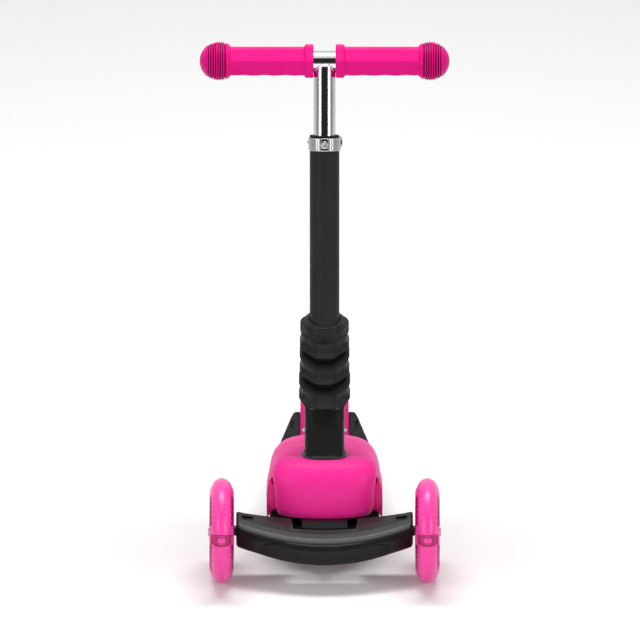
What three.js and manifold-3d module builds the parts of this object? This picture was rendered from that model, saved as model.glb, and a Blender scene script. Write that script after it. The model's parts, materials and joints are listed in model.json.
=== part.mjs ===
// Three wheel kids scooter: lean to steer front axle, telescoping T bar, sprung rear fender brake.
// Millimetres, +Z up, X across, the front of the scooter looks along -Y
import * as THREE from 'three';
import { mergeVertices } from 'three/addons/utils/BufferGeometryUtils.js';
import Module from 'manifold-3d';

const wasm = await Module();
wasm.setup();

// Clearances and shared sizes
const gap = 0.3;
const runGap = 0.6;
const overrun = 4;
const weldGap = 0.0005;
const half = 0.5;
const quarterTurn = Math.PI / 2;
const halfTurn = Math.PI;
const fullTurn = Math.PI * 2;
const degree = Math.PI / 180;
const roundSteps = 24;
const smallSteps = 12;
const wheelSteps = 32;
const rearWheelSteps = 24;
const hexSteps = 6;

// Stance: axle places, rake of the stem and lean of the kingpin
const frontWheelR = 60;
const frontAxleZ = frontWheelR;
const frontTrack = 235;
const wheelBase = 410;
const rearAxleZ = 40;
const stemRake = 18.5 * degree;
const stemBaseY = 84;
const stemBaseZ = 117;
const hoodTilt = 8 * degree;
const kingpinLean = 38 * degree;
const kingpinY = 18;
const kingpinZ = 42;

// Front wheels
const frontWheelW = 28;
const frontTyreDepth = 20;
const frontTyreInnerR = frontWheelR - frontTyreDepth;
const frontRimWall = 4.5;
const frontWebWidth = 9;
const frontSpokeWidth = 11;
const frontSpokes = 5;
const frontBossR = 15;
const frontBossInset = 3;
const lightAngle = 13.2 * degree;
const lightPocketLength = 13.4;
const lightPocketDepth = 5;
const lightRecess = 1.8;
const lightLedR = 2.2;

// Rear wheel, which stands on the floor
const rearWheelR = rearAxleZ;
const rearWheelW = 24;
const rearTyreDepth = 14;
const rearTyreInnerR = rearWheelR - rearTyreDepth;
const rearRimWall = 4;
const rearWebWidth = 7;
const rearBossR = 14.5;

// Ball bearings, spacers and axle bolts
const bearingR = 11;
const bearingBoreR = 4.3;
const bearingW = 7;
const spacerR = 5.8;
const axleBoltR = 4;
const boltHeadR = 6.5;
const boltHeadW = 4.2;
const socketR = 2.6;
const socketDepth = 2.2;
const nutW = 3.6;
const rimEdgeShare = 0.8;
const rimInnerShare = 0.7;

// Deck
const deckTopZ = 66;
const deckBottomZ = 46;
const deckSkin = 4;
const deckFrontY = 44;
const deckRearY = 313;
const deckHalfW = 63;
const deckRearHalfW = 30.6;
const deckTailHalfW = 26;
const deckTailEndY = 364;
const deckRoundOff = 4;
const deckRib = 2.6;
const pocketPitchX = 34;
const pocketPitchY = 44;
const pocketRows = 5;
const pocketColumns = 3;
const pocketFrontY = 122;
const padThick = 4;
const padSlitY = 273;
const padSlitLength = 19;
const padSlitWidth = 2.2;
const padSlitEdge = 4.2;
const spineHalfW = 28;
const spineThick = 8;
const spineChamfer = 2;
const spineFrontY = 150;
const spineRearY = 360;
const spineTailHalfW = 25;
const spineNarrowY = 338;
const spineScrewX = 22.6;
const spineScrewY = 246;
const screwR = 2;
const screwHeadR = 3.6;
const screwHeadH = 1.6;
const screwTopShare = 0.8;
const screwLength = 12;

// Rear fork, fender and brake
const forkArmW = 6.8;
const forkEyeR = 11.5;
const forkArmDropZ = 60;
const forkRootY = 345;
const forkEyeStart = 70 * degree;
const forkEyeSweep = 190 * degree;
const fenderInnerR = 44;
const fenderWall = 2.6;
const fenderHalfW = 18.5;
const fenderSkirt = 7;
const fenderCorner = 3.6;
const fenderStart = 15 * degree;
const fenderEnd = 134 * degree;
const fenderOpening = 4 * degree;
const fenderPinY = 368;
const fenderPinZ = 71;
const fenderPinR = 2;
const fenderKnuckleR = 4.6;
const fenderKnuckleHalfW = 11;
const fenderEarW = 4;
const brakeStart = 62 * degree;
const brakeEnd = 102 * degree;
const brakeHalfW = 9;
const brakeThick = 1.2;

// Pivot yoke, kingpin and steering bushes
const yokeHalfW = 26;
const yokeTopZ = 58;
const yokeFrontTopZ = 61.5;
const yokeBottomZ = 38;
const yokeRearY = 112;
const yokeTailY = 34;
const yokeFlangeHalfW = 40;
const yokeFlangeY = 46;
const yokeNoseY = 29.4;
const yokeReach = 9;
const yokeLength = 44;
const yokeCorner = 8;
const yokeUpperArm = 7;
const yokeLowerArm = 5.5;
const yokeArmGap = 9;
const yokeSlotBack = 12.2;
const bossR = 11;
const bossHalfH = 5.5;
const webHalfW = 14;
const webReach = 30;
const webRise = 18;
const steerBushR = 10.4;
const kingpinR = 4;
const kingpinHeadR = 6.5;
const kingpinHeadH = 5;
const kingpinBite = 3.4;
const washerR = 7.5;
const washerH = 1.4;
const yokeBoltX = 15;
const yokeBoltY = 98;
const yokeBoltR = 3;
const yokeBoltLength = 30;
const yokeBoltSkin = 1.3;

// Front axle beam
const beamWheelGap = 2.5;
const beamHalfL = frontTrack * half - frontWheelW * half - beamWheelGap;
const beamEndTopZ = 75;
const beamEndBottomZ = 40.4;
const beamEndFrontY = -8;
const beamRearY = 22.5;
const beamNoseDepth = 27.5;
const beamNotchHalfW = 38;
const beamNotchY = -4.5;
const beamSag = 10.5;
const beamDrop = 10;
const beamBow = 24;
const beamStations = 12;
const beamBossR = 5.8;
const beamBoltBite = 32;
const beamSlotInset = 13;
const beamSlotLength = 13;
const beamSlotWidth = 2.4;
const beamSlotDepth = 5;
const fasciaInset = 27;
const fasciaThick = 2.6;
const fasciaLedgeZ = 61;
const fasciaRise = 9.7;
const fasciaRearY = -14;

// Hood
const hoodWall = 3;
const noseHalfW = 58;
const noseDepth = 48;
const noseRearY = 78;
const noseBottomZ = 60;
const noseTopZ = 120;
const noseSteps = 16;
const shoulderFrontY = 66;
const shoulderRearY = 230;
const shoulderHalfW = 66.3;
const shoulderBottomZ = 50;
const shoulderTopZ = 113.5;
const shoulderTailZ = 76;
const shoulderPower = 2.7;
const shoulderSteps = 16;
const cheekOpenTopZ = 84;
const cheekOpenBottomZ = 59.6;
const cheekArchHalfW = 64.8;
const cheekArchFootZ = 51.4;
const cheekArchTopHalfW = 56;
const cheekLip = 4;

// Stem socket, gasket and bellows boot
const socketHalfW = 22.8;
const socketHalfD = 20.5;
const socketPower = 3.6;
const socketTopAlong = 60;
const socketRootAlong = -62;
const socketPlateHalfW = 38;
const socketPlateFrontY = 60;
const socketPlateRearY = 118;
const socketPlateH = 6;
const neckR = 19.5;
const neckTopAlong = 83;
const tubeSeatAlong = -44;
const gasketHalfW = 26;
const gasketHalfD = 22.6;
const gasketH = 7.5;
const gasketTopShrink = 2.4;
const gasketPower = 2.5;
const bootSteps = 20;
const bootFoldR = 30.1;
const bootWaistR = 25.9;
const bootLipR = 23.4;
const bootBottomAlong = 60.5;
const bootTopAlong = 162;
const bootNarrowing = 24;
const bootRoomHalfW = 26.2;
const bootLipSlopeShare = 0.58;
const bootRearRiseShare = 0.44;
const bootCornerShare = 0.022;
const stemBoltAlong = 73;
const stemBoltR = 3;
const stemBoltHeadR = 4.8;
const stemBoltHeadH = 3;

// Stem tubes, clamp, button and lever
const outerTubeR = 17;
const outerTubeWall = 2;
const outerTubeTop = 365;
const collarSeatR = 16;
const collarR = 18.4;
const collarH = 15;
const lugHalfW = 7.6;
const lugSlit = 3;
const lugReach = 31;
const clampBack = 25;
const clampAlong = outerTubeTop - collarH * half;
const skewerR = 2.5;
const skewerEndX = 19.6;
const clampNutR = 5;
const clampNutW = 5.5;
const buttonR = 4.5;
const buttonProud = 1.8;
const buttonHeadL = 3.8;
const buttonPinR = 2.3;
const buttonTravel = 3.2;
const windowHalfW = 3.4;
const windowHalfH = 6;
const windowDepth = 1;
const tubeBushL = 24;
const bushFlangeH = 2.2;
const leverPinX = 14.2;
const leverCamR = 6.2;
const leverH = 12;
const leverForkGap = 5.8;
const leverForkR = 8;
const leverThick = 2.6;
const leverBackY = 36;
const leverTipX = 15.5;

// T bar and grips
const barTubeR = 12.4;
const barTubeWall = 1.5;
const barBottomAlong = 145;
const barCentreAlong = 452.5;
const barSaddle = 4;
const barTravel = 160;
const barNotches = 5;
const notchR = 4;
const slotEndRoom = 5;
const guideBushL = 24;
const guideBushLift = 6;
const handleTubeR = 11.45;
const handleHalfL = 103;
const gripStart = 12.7;
const gripFlangeW = 10.8;
const gripFlangeR = 21.4;
const gripR = 18.3;
const gripBallR = 22.2;
const gripBallX = 120.6;
const gripBallStartX = 108;
const gripEnd = 142.8;
const gripTipR = 3;
const gripSteps = 18;
const grooveStartX = 113.6;
const groovePitch = 2.72;
const grooves = 8;
const grooveWidth = 0.9;
const grooveDepth = 1;

const frontWheelX = frontTrack * half;
const frontBossHalf = frontWheelW * half - frontBossInset;
const beamBossX = frontWheelX - frontBossHalf - gap;
const rearEndY = wheelBase + (fenderInnerR + fenderWall) * Math.cos(fenderStart);
const middleY = (rearEndY - frontWheelR) * half;

// Shapes in and out of the joining library
function solid(geometry) {
  const plain = geometry.clone();
  for (const name of ['normal', 'uv']) plain.deleteAttribute(name);
  const merged = mergeVertices(plain, weldGap);
  const spots = merged.attributes.position.array;
  const corners = [...merged.index.array];
  const kept = [];
  let volume = 0;
  for (let i = 0; i < corners.length; i += 3) {
    const [a, b, c] = corners.slice(i, i + 3);
    if (a === b || b === c || a === c) continue;
    kept.push([a, b, c]);
    const at = (n) => new THREE.Vector3(...spots.slice(3 * n, 3 * n + 3));
    volume += at(a).dot(at(b).cross(at(c)));
  }
  const triVerts = Uint32Array.from(kept.flatMap(([a, b, c]) => (volume < 0 ? [a, c, b] : [a, b, c])));
  const mesh = new wasm.Mesh({ numProp: 3, vertProperties: Float32Array.from(spots), triVerts });
  return new wasm.Manifold(mesh);
}

function faces(body) {
  const mesh = body.getMesh();
  const geometry = new THREE.BufferGeometry();
  geometry.setAttribute('position', new THREE.BufferAttribute(Float32Array.from(mesh.vertProperties), 3));
  geometry.setIndex(new THREE.BufferAttribute(Uint32Array.from(mesh.triVerts), 1));
  return geometry;
}

function joined(bodies) {
  return bodies.reduce((sum, body) => sum.add(body));
}

function cut(body, tools) {
  return tools.reduce((rest, tool) => rest.subtract(tool), body);
}

// Basic solids: rods and blocks, with their place
function turnTo(geometry, axis) {
  if (axis === 'x') geometry.rotateZ(-quarterTurn);
  if (axis === 'z') geometry.rotateX(quarterTurn);
  return geometry;
}

function rod(radius, from, to, axis = 'z', at = [0, 0], steps = roundSteps) {
  const geometry = turnTo(new THREE.CylinderGeometry(radius, radius, Math.abs(to - from), steps), axis);
  const middle = (from + to) * half;
  if (axis === 'x') geometry.translate(middle, at[0], at[1]);
  if (axis === 'y') geometry.translate(at[0], middle, at[1]);
  if (axis === 'z') geometry.translate(at[0], at[1], middle);
  return solid(geometry);
}

function block(x0, x1, y0, y1, z0, z1) {
  const geometry = new THREE.BoxGeometry(x1 - x0, y1 - y0, z1 - z0);
  geometry.translate((x0 + x1) * half, (y0 + y1) * half, (z0 + z1) * half);
  return solid(geometry);
}

// A body turned round Z from points of radius and height
function turned(points, steps, axis = 'z') {
  const profile = points.map(([radius, height]) => new THREE.Vector2(radius, height));
  const geometry = new THREE.LatheGeometry(profile, steps);
  geometry.rotateX(quarterTurn);
  if (axis === 'x') geometry.rotateY(quarterTurn);
  return solid(geometry);
}

function ring(innerR, outerR, from, to, axis = 'z', steps = roundSteps) {
  const corners = [[innerR, from], [outerR, from], [outerR, to], [innerR, to], [innerR, from]];
  return turned(corners, steps, axis);
}

// A flat outline of [across, along] points pushed from one height to another
function prism(points, from, to) {
  const shape = new THREE.Shape(points.map(([x, y]) => new THREE.Vector2(x, y)));
  const geometry = new THREE.ExtrudeGeometry(shape, { depth: to - from, bevelEnabled: false });
  geometry.translate(0, 0, from);
  return solid(geometry);
}

// A side view outline of [y, z] points pushed across X
function sidePrism(points, from, to) {
  const shape = new THREE.Shape(points.map(([y, z]) => new THREE.Vector2(y, z)));
  const geometry = new THREE.ExtrudeGeometry(shape, { depth: to - from, bevelEnabled: false });
  geometry.translate(0, 0, from);
  geometry.applyMatrix4(new THREE.Matrix4().makeBasis(
    new THREE.Vector3(0, 1, 0), new THREE.Vector3(0, 0, 1), new THREE.Vector3(1, 0, 0)));
  return solid(geometry);
}

// A front view outline of [x, z] points pushed back along Y
function frontPrism(points, from, to) {
  const shape = new THREE.Shape(points.map(([x, z]) => new THREE.Vector2(x, z)));
  const geometry = new THREE.ExtrudeGeometry(shape, { depth: to - from, bevelEnabled: false });
  geometry.rotateX(quarterTurn);
  geometry.translate(0, to, 0);
  return solid(geometry);
}

// A skin over a row of rings with equal point counts, closed by a fan at either end
function loft(rings) {
  const count = rings[0].length;
  const spots = rings.flat();
  const index = [];
  for (let i = 0; i + 1 < rings.length; i += 1) {
    for (let j = 0; j < count; j += 1) {
      const k = (j + 1) % count;
      const [a, b, c, d] = [i * count + j, i * count + k, (i + 1) * count + k, (i + 1) * count + j];
      index.push(a, b, c, a, c, d);
    }
  }
  const ends = [[0, false], [rings.length - 1, true]];
  for (const [row, last] of ends) {
    const centre = rings[row].reduce((sum, p) => sum.add(p), new THREE.Vector3()).divideScalar(count);
    const hub = spots.push(centre) - 1;
    for (let j = 0; j < count; j += 1) {
      const pair = [row * count + j, row * count + ((j + 1) % count)];
      index.push(hub, ...(last ? pair : pair.reverse()));
    }
  }
  const geometry = new THREE.BufferGeometry();
  geometry.setAttribute('position', new THREE.Float32BufferAttribute(spots.flatMap((p) => p.toArray()), 3));
  geometry.setIndex(index);
  return solid(geometry);
}

// A superellipse ring: power 2 is an ellipse, a higher power is squarer
function roundedRing(halfX, halfY, power, steps, toPoint) {
  return Array.from({ length: steps }, (_, i) => {
    const turn = (i / steps) * fullTurn;
    const [c, s] = [Math.cos(turn), Math.sin(turn)];
    const x = halfX * Math.sign(c) * Math.abs(c) ** (2 / power);
    const y = halfY * Math.sign(s) * Math.abs(s) ** (2 / power);
    return toPoint(x, y);
  });
}

// A value read off a table of [share, value] rows by straight lines
function read(rows, share) {
  const next = rows.findIndex(([at]) => at >= share);
  if (next < 1) return rows[next < 0 ? rows.length - 1 : 0][1];
  const [[a, from], [b, to]] = [rows[next - 1], rows[next]];
  return from + ((to - from) * (share - a)) / (b - a);
}

// Frames of the stem, the kingpin and the tilted hood top, as matrices and as scene groups
function tilted(angle, y, z) {
  const group = new THREE.Group();
  group.position.set(0, y, z);
  group.rotation.x = angle;
  group.updateMatrix();
  return group;
}

function moved(body, group) {
  return solid(faces(body).applyMatrix4(group.matrix));
}

const scooter = new THREE.Group();
const stem = tilted(-stemRake, stemBaseY, stemBaseZ);
const kingpin = tilted(kingpinLean, kingpinY, kingpinZ);
const hoodTop = tilted(-hoodTilt, stemBaseY, stemBaseZ);
scooter.add(stem, kingpin, hoodTop);
scooter.position.y = -middleY;

// Finishes
const finishes = {
  pink: { color: 0xf01f8f, roughness: 0.35, metalness: 0 },
  pinkRubber: { color: 0xf51c92, roughness: 0.5, metalness: 0 },
  pinkClear: { color: 0xff3fa4, roughness: 0.2, metalness: 0 },
  black: { color: 0x1a1a1c, roughness: 0.5, metalness: 0 },
  blackMetal: { color: 0x161618, roughness: 0.4, metalness: 0.3 },
  rubber: { color: 0x121213, roughness: 0.7, metalness: 0 },
  chrome: { color: 0xd8d8dc, roughness: 0.08, metalness: 1 },
  steel: { color: 0xa8a9ad, roughness: 0.3, metalness: 1 },
  lens: { color: 0xff9fd0, roughness: 0.1, metalness: 0 },
};

function place(name, body, finish, parent = scooter) {
  const mesh = new THREE.Mesh(faces(body), new THREE.MeshStandardMaterial(finishes[finish]));
  mesh.name = name;
  parent.add(mesh);
  return mesh;
}

// Deck: half width along its length, as shares of the length and of the way from its rear half
// width to its full one
const deckWidthShares = [
  [0, 0.03], [0.03, 0.34], [0.06, 0.53], [0.1, 0.69], [0.13, 0.864], [0.16, 0.97], [0.25, 0.97],
  [0.36, 0.932], [0.47, 0.864], [0.63, 0.685], [0.72, 0.557], [0.8, 0.44], [0.87, 0.337], [0.94, 0.232],
  [0.98, 0.129], [1, 0],
];

function deckHalfWidth(y, inset) {
  const share = (y - deckFrontY) / (deckRearY - deckFrontY);
  return deckRearHalfW + (deckHalfW - deckRearHalfW) * read(deckWidthShares, share) - inset;
}

function deckOutline(inset) {
  const right = deckWidthShares.map(([share]) => {
    const y = deckFrontY + share * (deckRearY - deckFrontY);
    const held = Math.min(Math.max(y, deckFrontY + inset), deckRearY - inset);
    return [deckHalfWidth(y, inset), held];
  });
  right.push([deckTailHalfW - inset, deckRearY - inset], [deckTailHalfW - inset, deckTailEndY - inset]);
  return [...right, ...right.map(([x, y]) => [-x, y]).reverse()];
}

function deckPockets() {
  const pockets = [];
  for (let row = 0; row < pocketRows; row += 1) {
    const y = pocketFrontY + row * pocketPitchY;
    for (let column = 0; column < pocketColumns; column += 1) {
      const x = (column - pocketColumns * half) * pocketPitchX;
      pockets.push(block(x + deckRib * half, x + pocketPitchX - deckRib * half,
        y, y + pocketPitchY - deckRib, deckBottomZ - overrun, deckTopZ - deckSkin));
    }
  }
  const inside = prism(deckOutline(deckRib + deckRoundOff), deckBottomZ - overrun, deckTopZ - deckSkin);
  return joined(pockets).intersect(inside);
}

function forkArm(side) {
  const inner = rearWheelW * half + 2 * runGap;
  const outline = [[forkRootY, deckBottomZ], [forkRootY, deckTopZ], [deckTailEndY, deckTopZ]];
  outline.push([deckTailEndY + overrun, forkArmDropZ]);
  for (let step = 0; step <= smallSteps * half; step += 1) {
    const turn = forkEyeStart - (step / (smallSteps * half)) * forkEyeSweep;
    outline.push([wheelBase + forkEyeR * Math.cos(turn), rearAxleZ + forkEyeR * Math.sin(turn)]);
  }
  const arm = sidePrism(outline, inner, inner + forkArmW);
  return side < 0 ? mirrored(arm) : arm;
}

function mirrored(body) {
  return solid(faces(body).applyMatrix4(new THREE.Matrix4().makeScale(-1, 1, 1)));
}

function deckShell() {
  const low = prism(deckOutline(deckRoundOff * half), deckBottomZ, deckTopZ);
  const high = prism(deckOutline(0), deckBottomZ + deckRoundOff * half, deckTopZ);
  const wellFrontY = wheelBase - rearWheelR - overrun;
  const well = block(-deckTailHalfW - overrun, deckTailHalfW + overrun, wellFrontY, rearEndY, 0, rearEndY);
  const wellCore = block(-rearWheelW * half - 2 * runGap, rearWheelW * half + 2 * runGap, wellFrontY, rearEndY,
    0, rearEndY);
  const plate = cut(low.add(high), [well]).add(forkArm(1)).add(forkArm(-1));
  const yokeBay = block(-yokeHalfW - gap, yokeHalfW + gap, 0, yokeRearY + gap, 0, yokeTopZ + gap);
  const holes = [rod(axleBoltR + gap, -deckHalfW, deckHalfW, 'x', [wheelBase, rearAxleZ])];
  for (const side of [-1, 1]) {
    holes.push(rod(screwR + gap, deckTopZ - screwLength, deckTopZ + overrun, 'z',
      [side * spineScrewX, spineScrewY], smallSteps));
    holes.push(rod(yokeBoltR + gap, yokeTopZ - overrun, deckTopZ - yokeBoltSkin, 'z',
      [side * yokeBoltX, yokeBoltY], smallSteps));
  }
  return cut(plate, [wellCore, yokeBay, deckPockets(), ...holes]);
}

function deckPad(side) {
  const edge = deckWidthShares.map(([share]) => deckFrontY + share * (deckRearY - deckFrontY))
    .filter((y) => y > shoulderRearY - spineHalfW);
  const points = edge.map((y) => [deckHalfWidth(y, 0), y]);
  const inner = spineHalfW + gap;
  const sheet = prism([[inner, edge[0]], ...points, [inner, deckRearY]],
    deckTopZ + gap, deckTopZ + padThick);
  const slitX = deckHalfWidth(padSlitY, padSlitEdge);
  const slit = block(slitX - padSlitWidth, slitX, padSlitY - padSlitLength * half,
    padSlitY + padSlitLength * half, deckTopZ + padThick * half, deckTopZ + padThick + overrun);
  const body = cut(sheet, [slit, shoulderRoom()]);
  return side < 0 ? mirrored(body) : body;
}

function deckSpine() {
  const rings = [[spineFrontY, spineHalfW], [spineNarrowY, spineHalfW], [spineRearY, spineTailHalfW]];
  const bars = rings.map(([y, halfW]) => [
    [-halfW, deckTopZ + gap], [halfW, deckTopZ + gap], [halfW, deckTopZ + spineThick - spineChamfer],
    [halfW - spineChamfer, deckTopZ + spineThick], [spineChamfer - halfW, deckTopZ + spineThick],
    [-halfW, deckTopZ + spineThick - spineChamfer],
  ].map(([x, z]) => new THREE.Vector3(x, y, z)));
  const tools = [-1, 1].map((side) => rod(screwR + gap, deckTopZ - screwLength, deckTopZ + spineThick + overrun,
    'z', [side * spineScrewX, spineScrewY], smallSteps));
  const ears = [-1, 1].map((side) => fenderEar(side));
  const pinHole = rod(fenderPinR + gap, -spineHalfW, spineHalfW, 'x', [fenderPinY, fenderPinZ], smallSteps);
  const tongue = block(-fenderKnuckleHalfW - gap, fenderKnuckleHalfW + gap,
    fenderPinY - fenderKnuckleR - runGap, rearEndY, deckTopZ, rearEndY);
  return cut(joined([loft(bars), ...ears]), [...tools, pinHole, tongue]);
}

function fenderEar(side) {
  const inner = fenderKnuckleHalfW + gap;
  const eye = rod(fenderKnuckleR, inner, inner + fenderEarW, 'x', [fenderPinY, fenderPinZ], smallSteps);
  const root = block(inner, inner + fenderEarW, spineRearY - overrun, fenderPinY,
    deckTopZ + gap, fenderPinZ + fenderKnuckleR * half);
  const ear = eye.add(root).subtract(block(0, deckHalfW, spineRearY - 2 * overrun, rearEndY, 0, deckTopZ + gap));
  return side < 0 ? mirrored(ear) : ear;
}

function screw(x, y, seatZ, length) {
  const head = turned([[0, seatZ], [screwHeadR, seatZ], [screwHeadR * screwTopShare, seatZ + screwHeadH],
    [0, seatZ + screwHeadH]], smallSteps);
  const shank = rod(screwR, seatZ - length, seatZ + gap, 'z', [0, 0], smallSteps);
  const cross = [[screwHeadR * half, screwR * half * half], [screwR * half * half, screwHeadR * half]];
  const drive = cross.map(([w, d]) => block(-w, w, -d, d, seatZ + screwHeadH * half, seatZ + screwHeadH + overrun));
  const geometry = faces(cut(head.add(shank), drive));
  geometry.translate(x, y, 0);
  return solid(geometry);
}

function buildDeck() {
  place('deck_shell', deckShell(), 'black');
  place('deck_spine', deckSpine(), 'pink');
  for (const [name, side] of [['left', -1], ['right', 1]]) {
    place(`deck_pad_${name}`, deckPad(side), 'rubber');
    place(`spine_screw_${name}`, screw(side * spineScrewX, spineScrewY, deckTopZ + spineThick + gap,
      screwLength + spineThick * half), 'steel');
  }
}

// Hood nose: plan outlines up its height, as shares of height, half width and depth, with how
// square the corners are and how far the front sweeps back, as a share of the depth
const noseShares = [
  [0, 0.935, 0.979, 9, 0.25], [0.07, 0.975, 1, 8, 0.25], [0.25, 0.995, 1, 6, 0.21], [0.5, 1.01, 0.9375, 4.4, 0.16],
  [0.7, 1.018, 0.821, 3.7, 0.12], [0.84, 0.995, 0.683, 3.3, 0.09], [0.93, 0.92, 0.54, 3, 0.06],
  [1, 0.75, 0.354, 2.8, 0.04],
];

function nosePart(grow, rearY) {
  const rings = noseShares.map(([heightShare, widthShare, depthShare, squareShare, sweepShare]) => {
    const z = noseBottomZ + heightShare * (noseTopZ - noseBottomZ);
    const [w, d] = [noseHalfW * widthShare + grow, noseDepth * depthShare + grow];
    const lift = heightShare === 1 ? grow : 0;
    const arc = Array.from({ length: noseSteps + 1 }, (_, i) => {
      const turn = halfTurn * (i / noseSteps);
      const [c, s] = [Math.cos(turn), Math.sin(turn)];
      const across = Math.sign(c) * Math.abs(c) ** (2 / squareShare);
      const back = sweepShare * noseDepth * across ** 2 * Math.abs(s) ** (2 / squareShare);
      return [w * across, noseRearY - d * Math.abs(s) ** (2 / squareShare) + back];
    });
    const outline = [...arc, [-w, rearY], [w, rearY]];
    return outline.map(([x, y]) => {
      const tilt = (stemBaseY - y) * Math.tan(hoodTilt) * heightShare;
      const top = (stemBaseZ - noseTopZ) * heightShare;
      return new THREE.Vector3(x, y, z + lift + tilt + top);
    });
  });
  return loft(rings);
}

function socketOutline(grow, from, to) {
  const rings = [from, to].map((along) => roundedRing(socketHalfW + grow, socketHalfD + grow, socketPower,
    roundSteps, (x, y) => new THREE.Vector3(x, y, along)));
  return moved(loft(rings), stem);
}

function hoodNose() {
  const outer = nosePart(0, noseRearY);
  const inner = nosePart(-hoodWall, noseRearY + overrun);
  const below = block(-deckHalfW, deckHalfW, 0, noseRearY + overrun, 0, noseBottomZ + gap);
  const deckRoom = prism(deckOutline(-gap), 0, deckTopZ + gap);
  const floor = faces(inner).translate(0, 0, -hoodWall);
  return cut(outer, [inner, solid(floor), below, deckRoom, socketOutline(gap, socketRootAlong, bootTopAlong)]);
}

// Hood shoulder: arches along its length, as shares of length, half width and rise above the deck
const shoulderShares = [
  [0, 1, 1], [0.19, 1, 1], [0.33, 0.975, 0.95], [0.48, 0.955, 0.83], [0.62, 0.925, 0.69],
  [0.75, 0.87, 0.5], [0.86, 0.795, 0.3], [0.93, 0.7, 0.15], [1, 0.5, 0],
];

function shoulderPart(grow, bottomZ) {
  const rings = shoulderShares.map(([lengthShare, widthShare, riseShare]) => {
    const y = shoulderFrontY + lengthShare * (shoulderRearY - shoulderFrontY) + (lengthShare === 1 ? grow : 0);
    const w = shoulderHalfW * widthShare + grow;
    const top = shoulderTailZ + riseShare * (shoulderTopZ - shoulderTailZ) + grow;
    const arc = Array.from({ length: shoulderSteps + 1 }, (_, i) => {
      const turn = halfTurn * (i / shoulderSteps);
      const [c, s] = [Math.cos(turn), Math.sin(turn)];
      const x = w * Math.sign(c) * Math.abs(c) ** (2 / shoulderPower);
      const z = deckTopZ + (top - deckTopZ) * Math.abs(s) ** (2 / shoulderPower);
      return new THREE.Vector3(x, y, z);
    });
    return [...arc, new THREE.Vector3(-w, y, bottomZ), new THREE.Vector3(w, y, bottomZ)];
  });
  return loft(rings);
}

function shoulderRoom() {
  return shoulderPart(gap, deckTopZ - overrun);
}

function hoodShoulder() {
  const outer = shoulderPart(0, shoulderBottomZ);
  const inner = shoulderPart(-hoodWall, shoulderBottomZ - overrun);
  const innerBack = block(-deckHalfW, deckHalfW, shoulderFrontY + cheekLip, shoulderRearY, 0, noseTopZ + overrun);
  const cheek = block(-noseHalfW - overrun * half, noseHalfW + overrun * half, 0, shoulderFrontY + 2 * cheekLip,
    cheekOpenTopZ, noseTopZ + overrun);
  const arch = [[cheekArchHalfW, 0], [cheekArchHalfW, cheekArchFootZ], [cheekArchTopHalfW, cheekOpenBottomZ]];
  const cheekFoot = frontPrism([...arch, ...arch.map(([x, z]) => [-x, z]).reverse()], 0,
    shoulderFrontY + 2 * cheekLip);
  const deckRoom = prism(deckOutline(-gap), 0, deckTopZ + gap);
  const spineRoom = block(-spineHalfW - gap, spineHalfW + gap, spineFrontY - overrun, shoulderRearY + overrun,
    0, deckTopZ + spineThick + gap);
  const nose = nosePart(gap, noseRearY + gap);
  const screws = [-1, 1].map((side) => rod(screwHeadR + gap, deckTopZ, rearEndY, 'z',
    [side * spineScrewX, spineScrewY], smallSteps));
  return cut(outer, [inner.intersect(innerBack), cheek, cheekFoot, deckRoom, spineRoom, nose,
    socketOutline(gap, socketRootAlong, bootTopAlong), ...screws]);
}

function buildHood() {
  place('hood_nose', hoodNose(), 'pink');
  place('hood_shoulder', hoodShoulder(), 'pink');
}

// Stem socket with its base plate, post and neck; the boot stands on its level shoulder
const socketShoulderZ = stemBaseZ + socketTopAlong * Math.cos(stemRake);

function stemSocket() {
  const post = socketOutline(0, socketRootAlong, neckTopAlong + overrun)
    .subtract(block(-deckHalfW, deckHalfW, 0, rearEndY, socketShoulderZ, rearEndY));
  const neck = moved(rod(neckR, 0, neckTopAlong), stem);
  const plate = block(-socketPlateHalfW, socketPlateHalfW, socketPlateFrontY, socketPlateRearY,
    deckTopZ + gap, deckTopZ + gap + socketPlateH);
  const under = block(-deckHalfW, deckHalfW, 0, rearEndY, -overrun, deckTopZ + gap);
  const bore = moved(rod(outerTubeR + gap, tubeSeatAlong - gap, neckTopAlong + overrun), stem);
  const boltHole = moved(rod(stemBoltR + gap, -deckHalfW, deckHalfW, 'x', [0, stemBoltAlong], smallSteps), stem);
  return cut(joined([post, neck, plate]), [under, bore, boltHole]);
}

function socketGasket() {
  const levels = [[gap, 0], [gasketH * half, 0], [gasketH, gasketTopShrink]];
  const rings = levels.map(([z, shrink]) => roundedRing(gasketHalfW - shrink, gasketHalfD - shrink, gasketPower,
    roundSteps, (x, y) => new THREE.Vector3(x, y, z)));
  const post = socketOutline(gap, -overrun * 4, overrun * 8);
  return moved(loft(rings), hoodTop).subtract(post);
}

// Bellows boot: rings round the raked stem that slope down to the front, and less so behind. Each
// row is a ring's place along the boot, its radius, its depth in front and its slope in front
const bootShares = [
  [0.108, 1, 0.83, 0.4], [0.183, 0.88, 0.98, 0.43], [0.285, 1, 0.97, 0.43], [0.335, 0.78, 1, 0.43],
  [0.378, 0.8, 1, 0.43], [0.399, 0.98, 0.83, 0.43], [0.474, 0.86, 1, 0.43], [0.583, 0.97, 1, 0.43],
  [0.628, 0.78, 1, 0.43], [0.67, 0.8, 1, 0.43], [0.69, 0.97, 0.83, 0.43], [0.769, 0.86, 1, 0.43],
  [0.88, 0.95, 1, 0.43],
];

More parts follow.
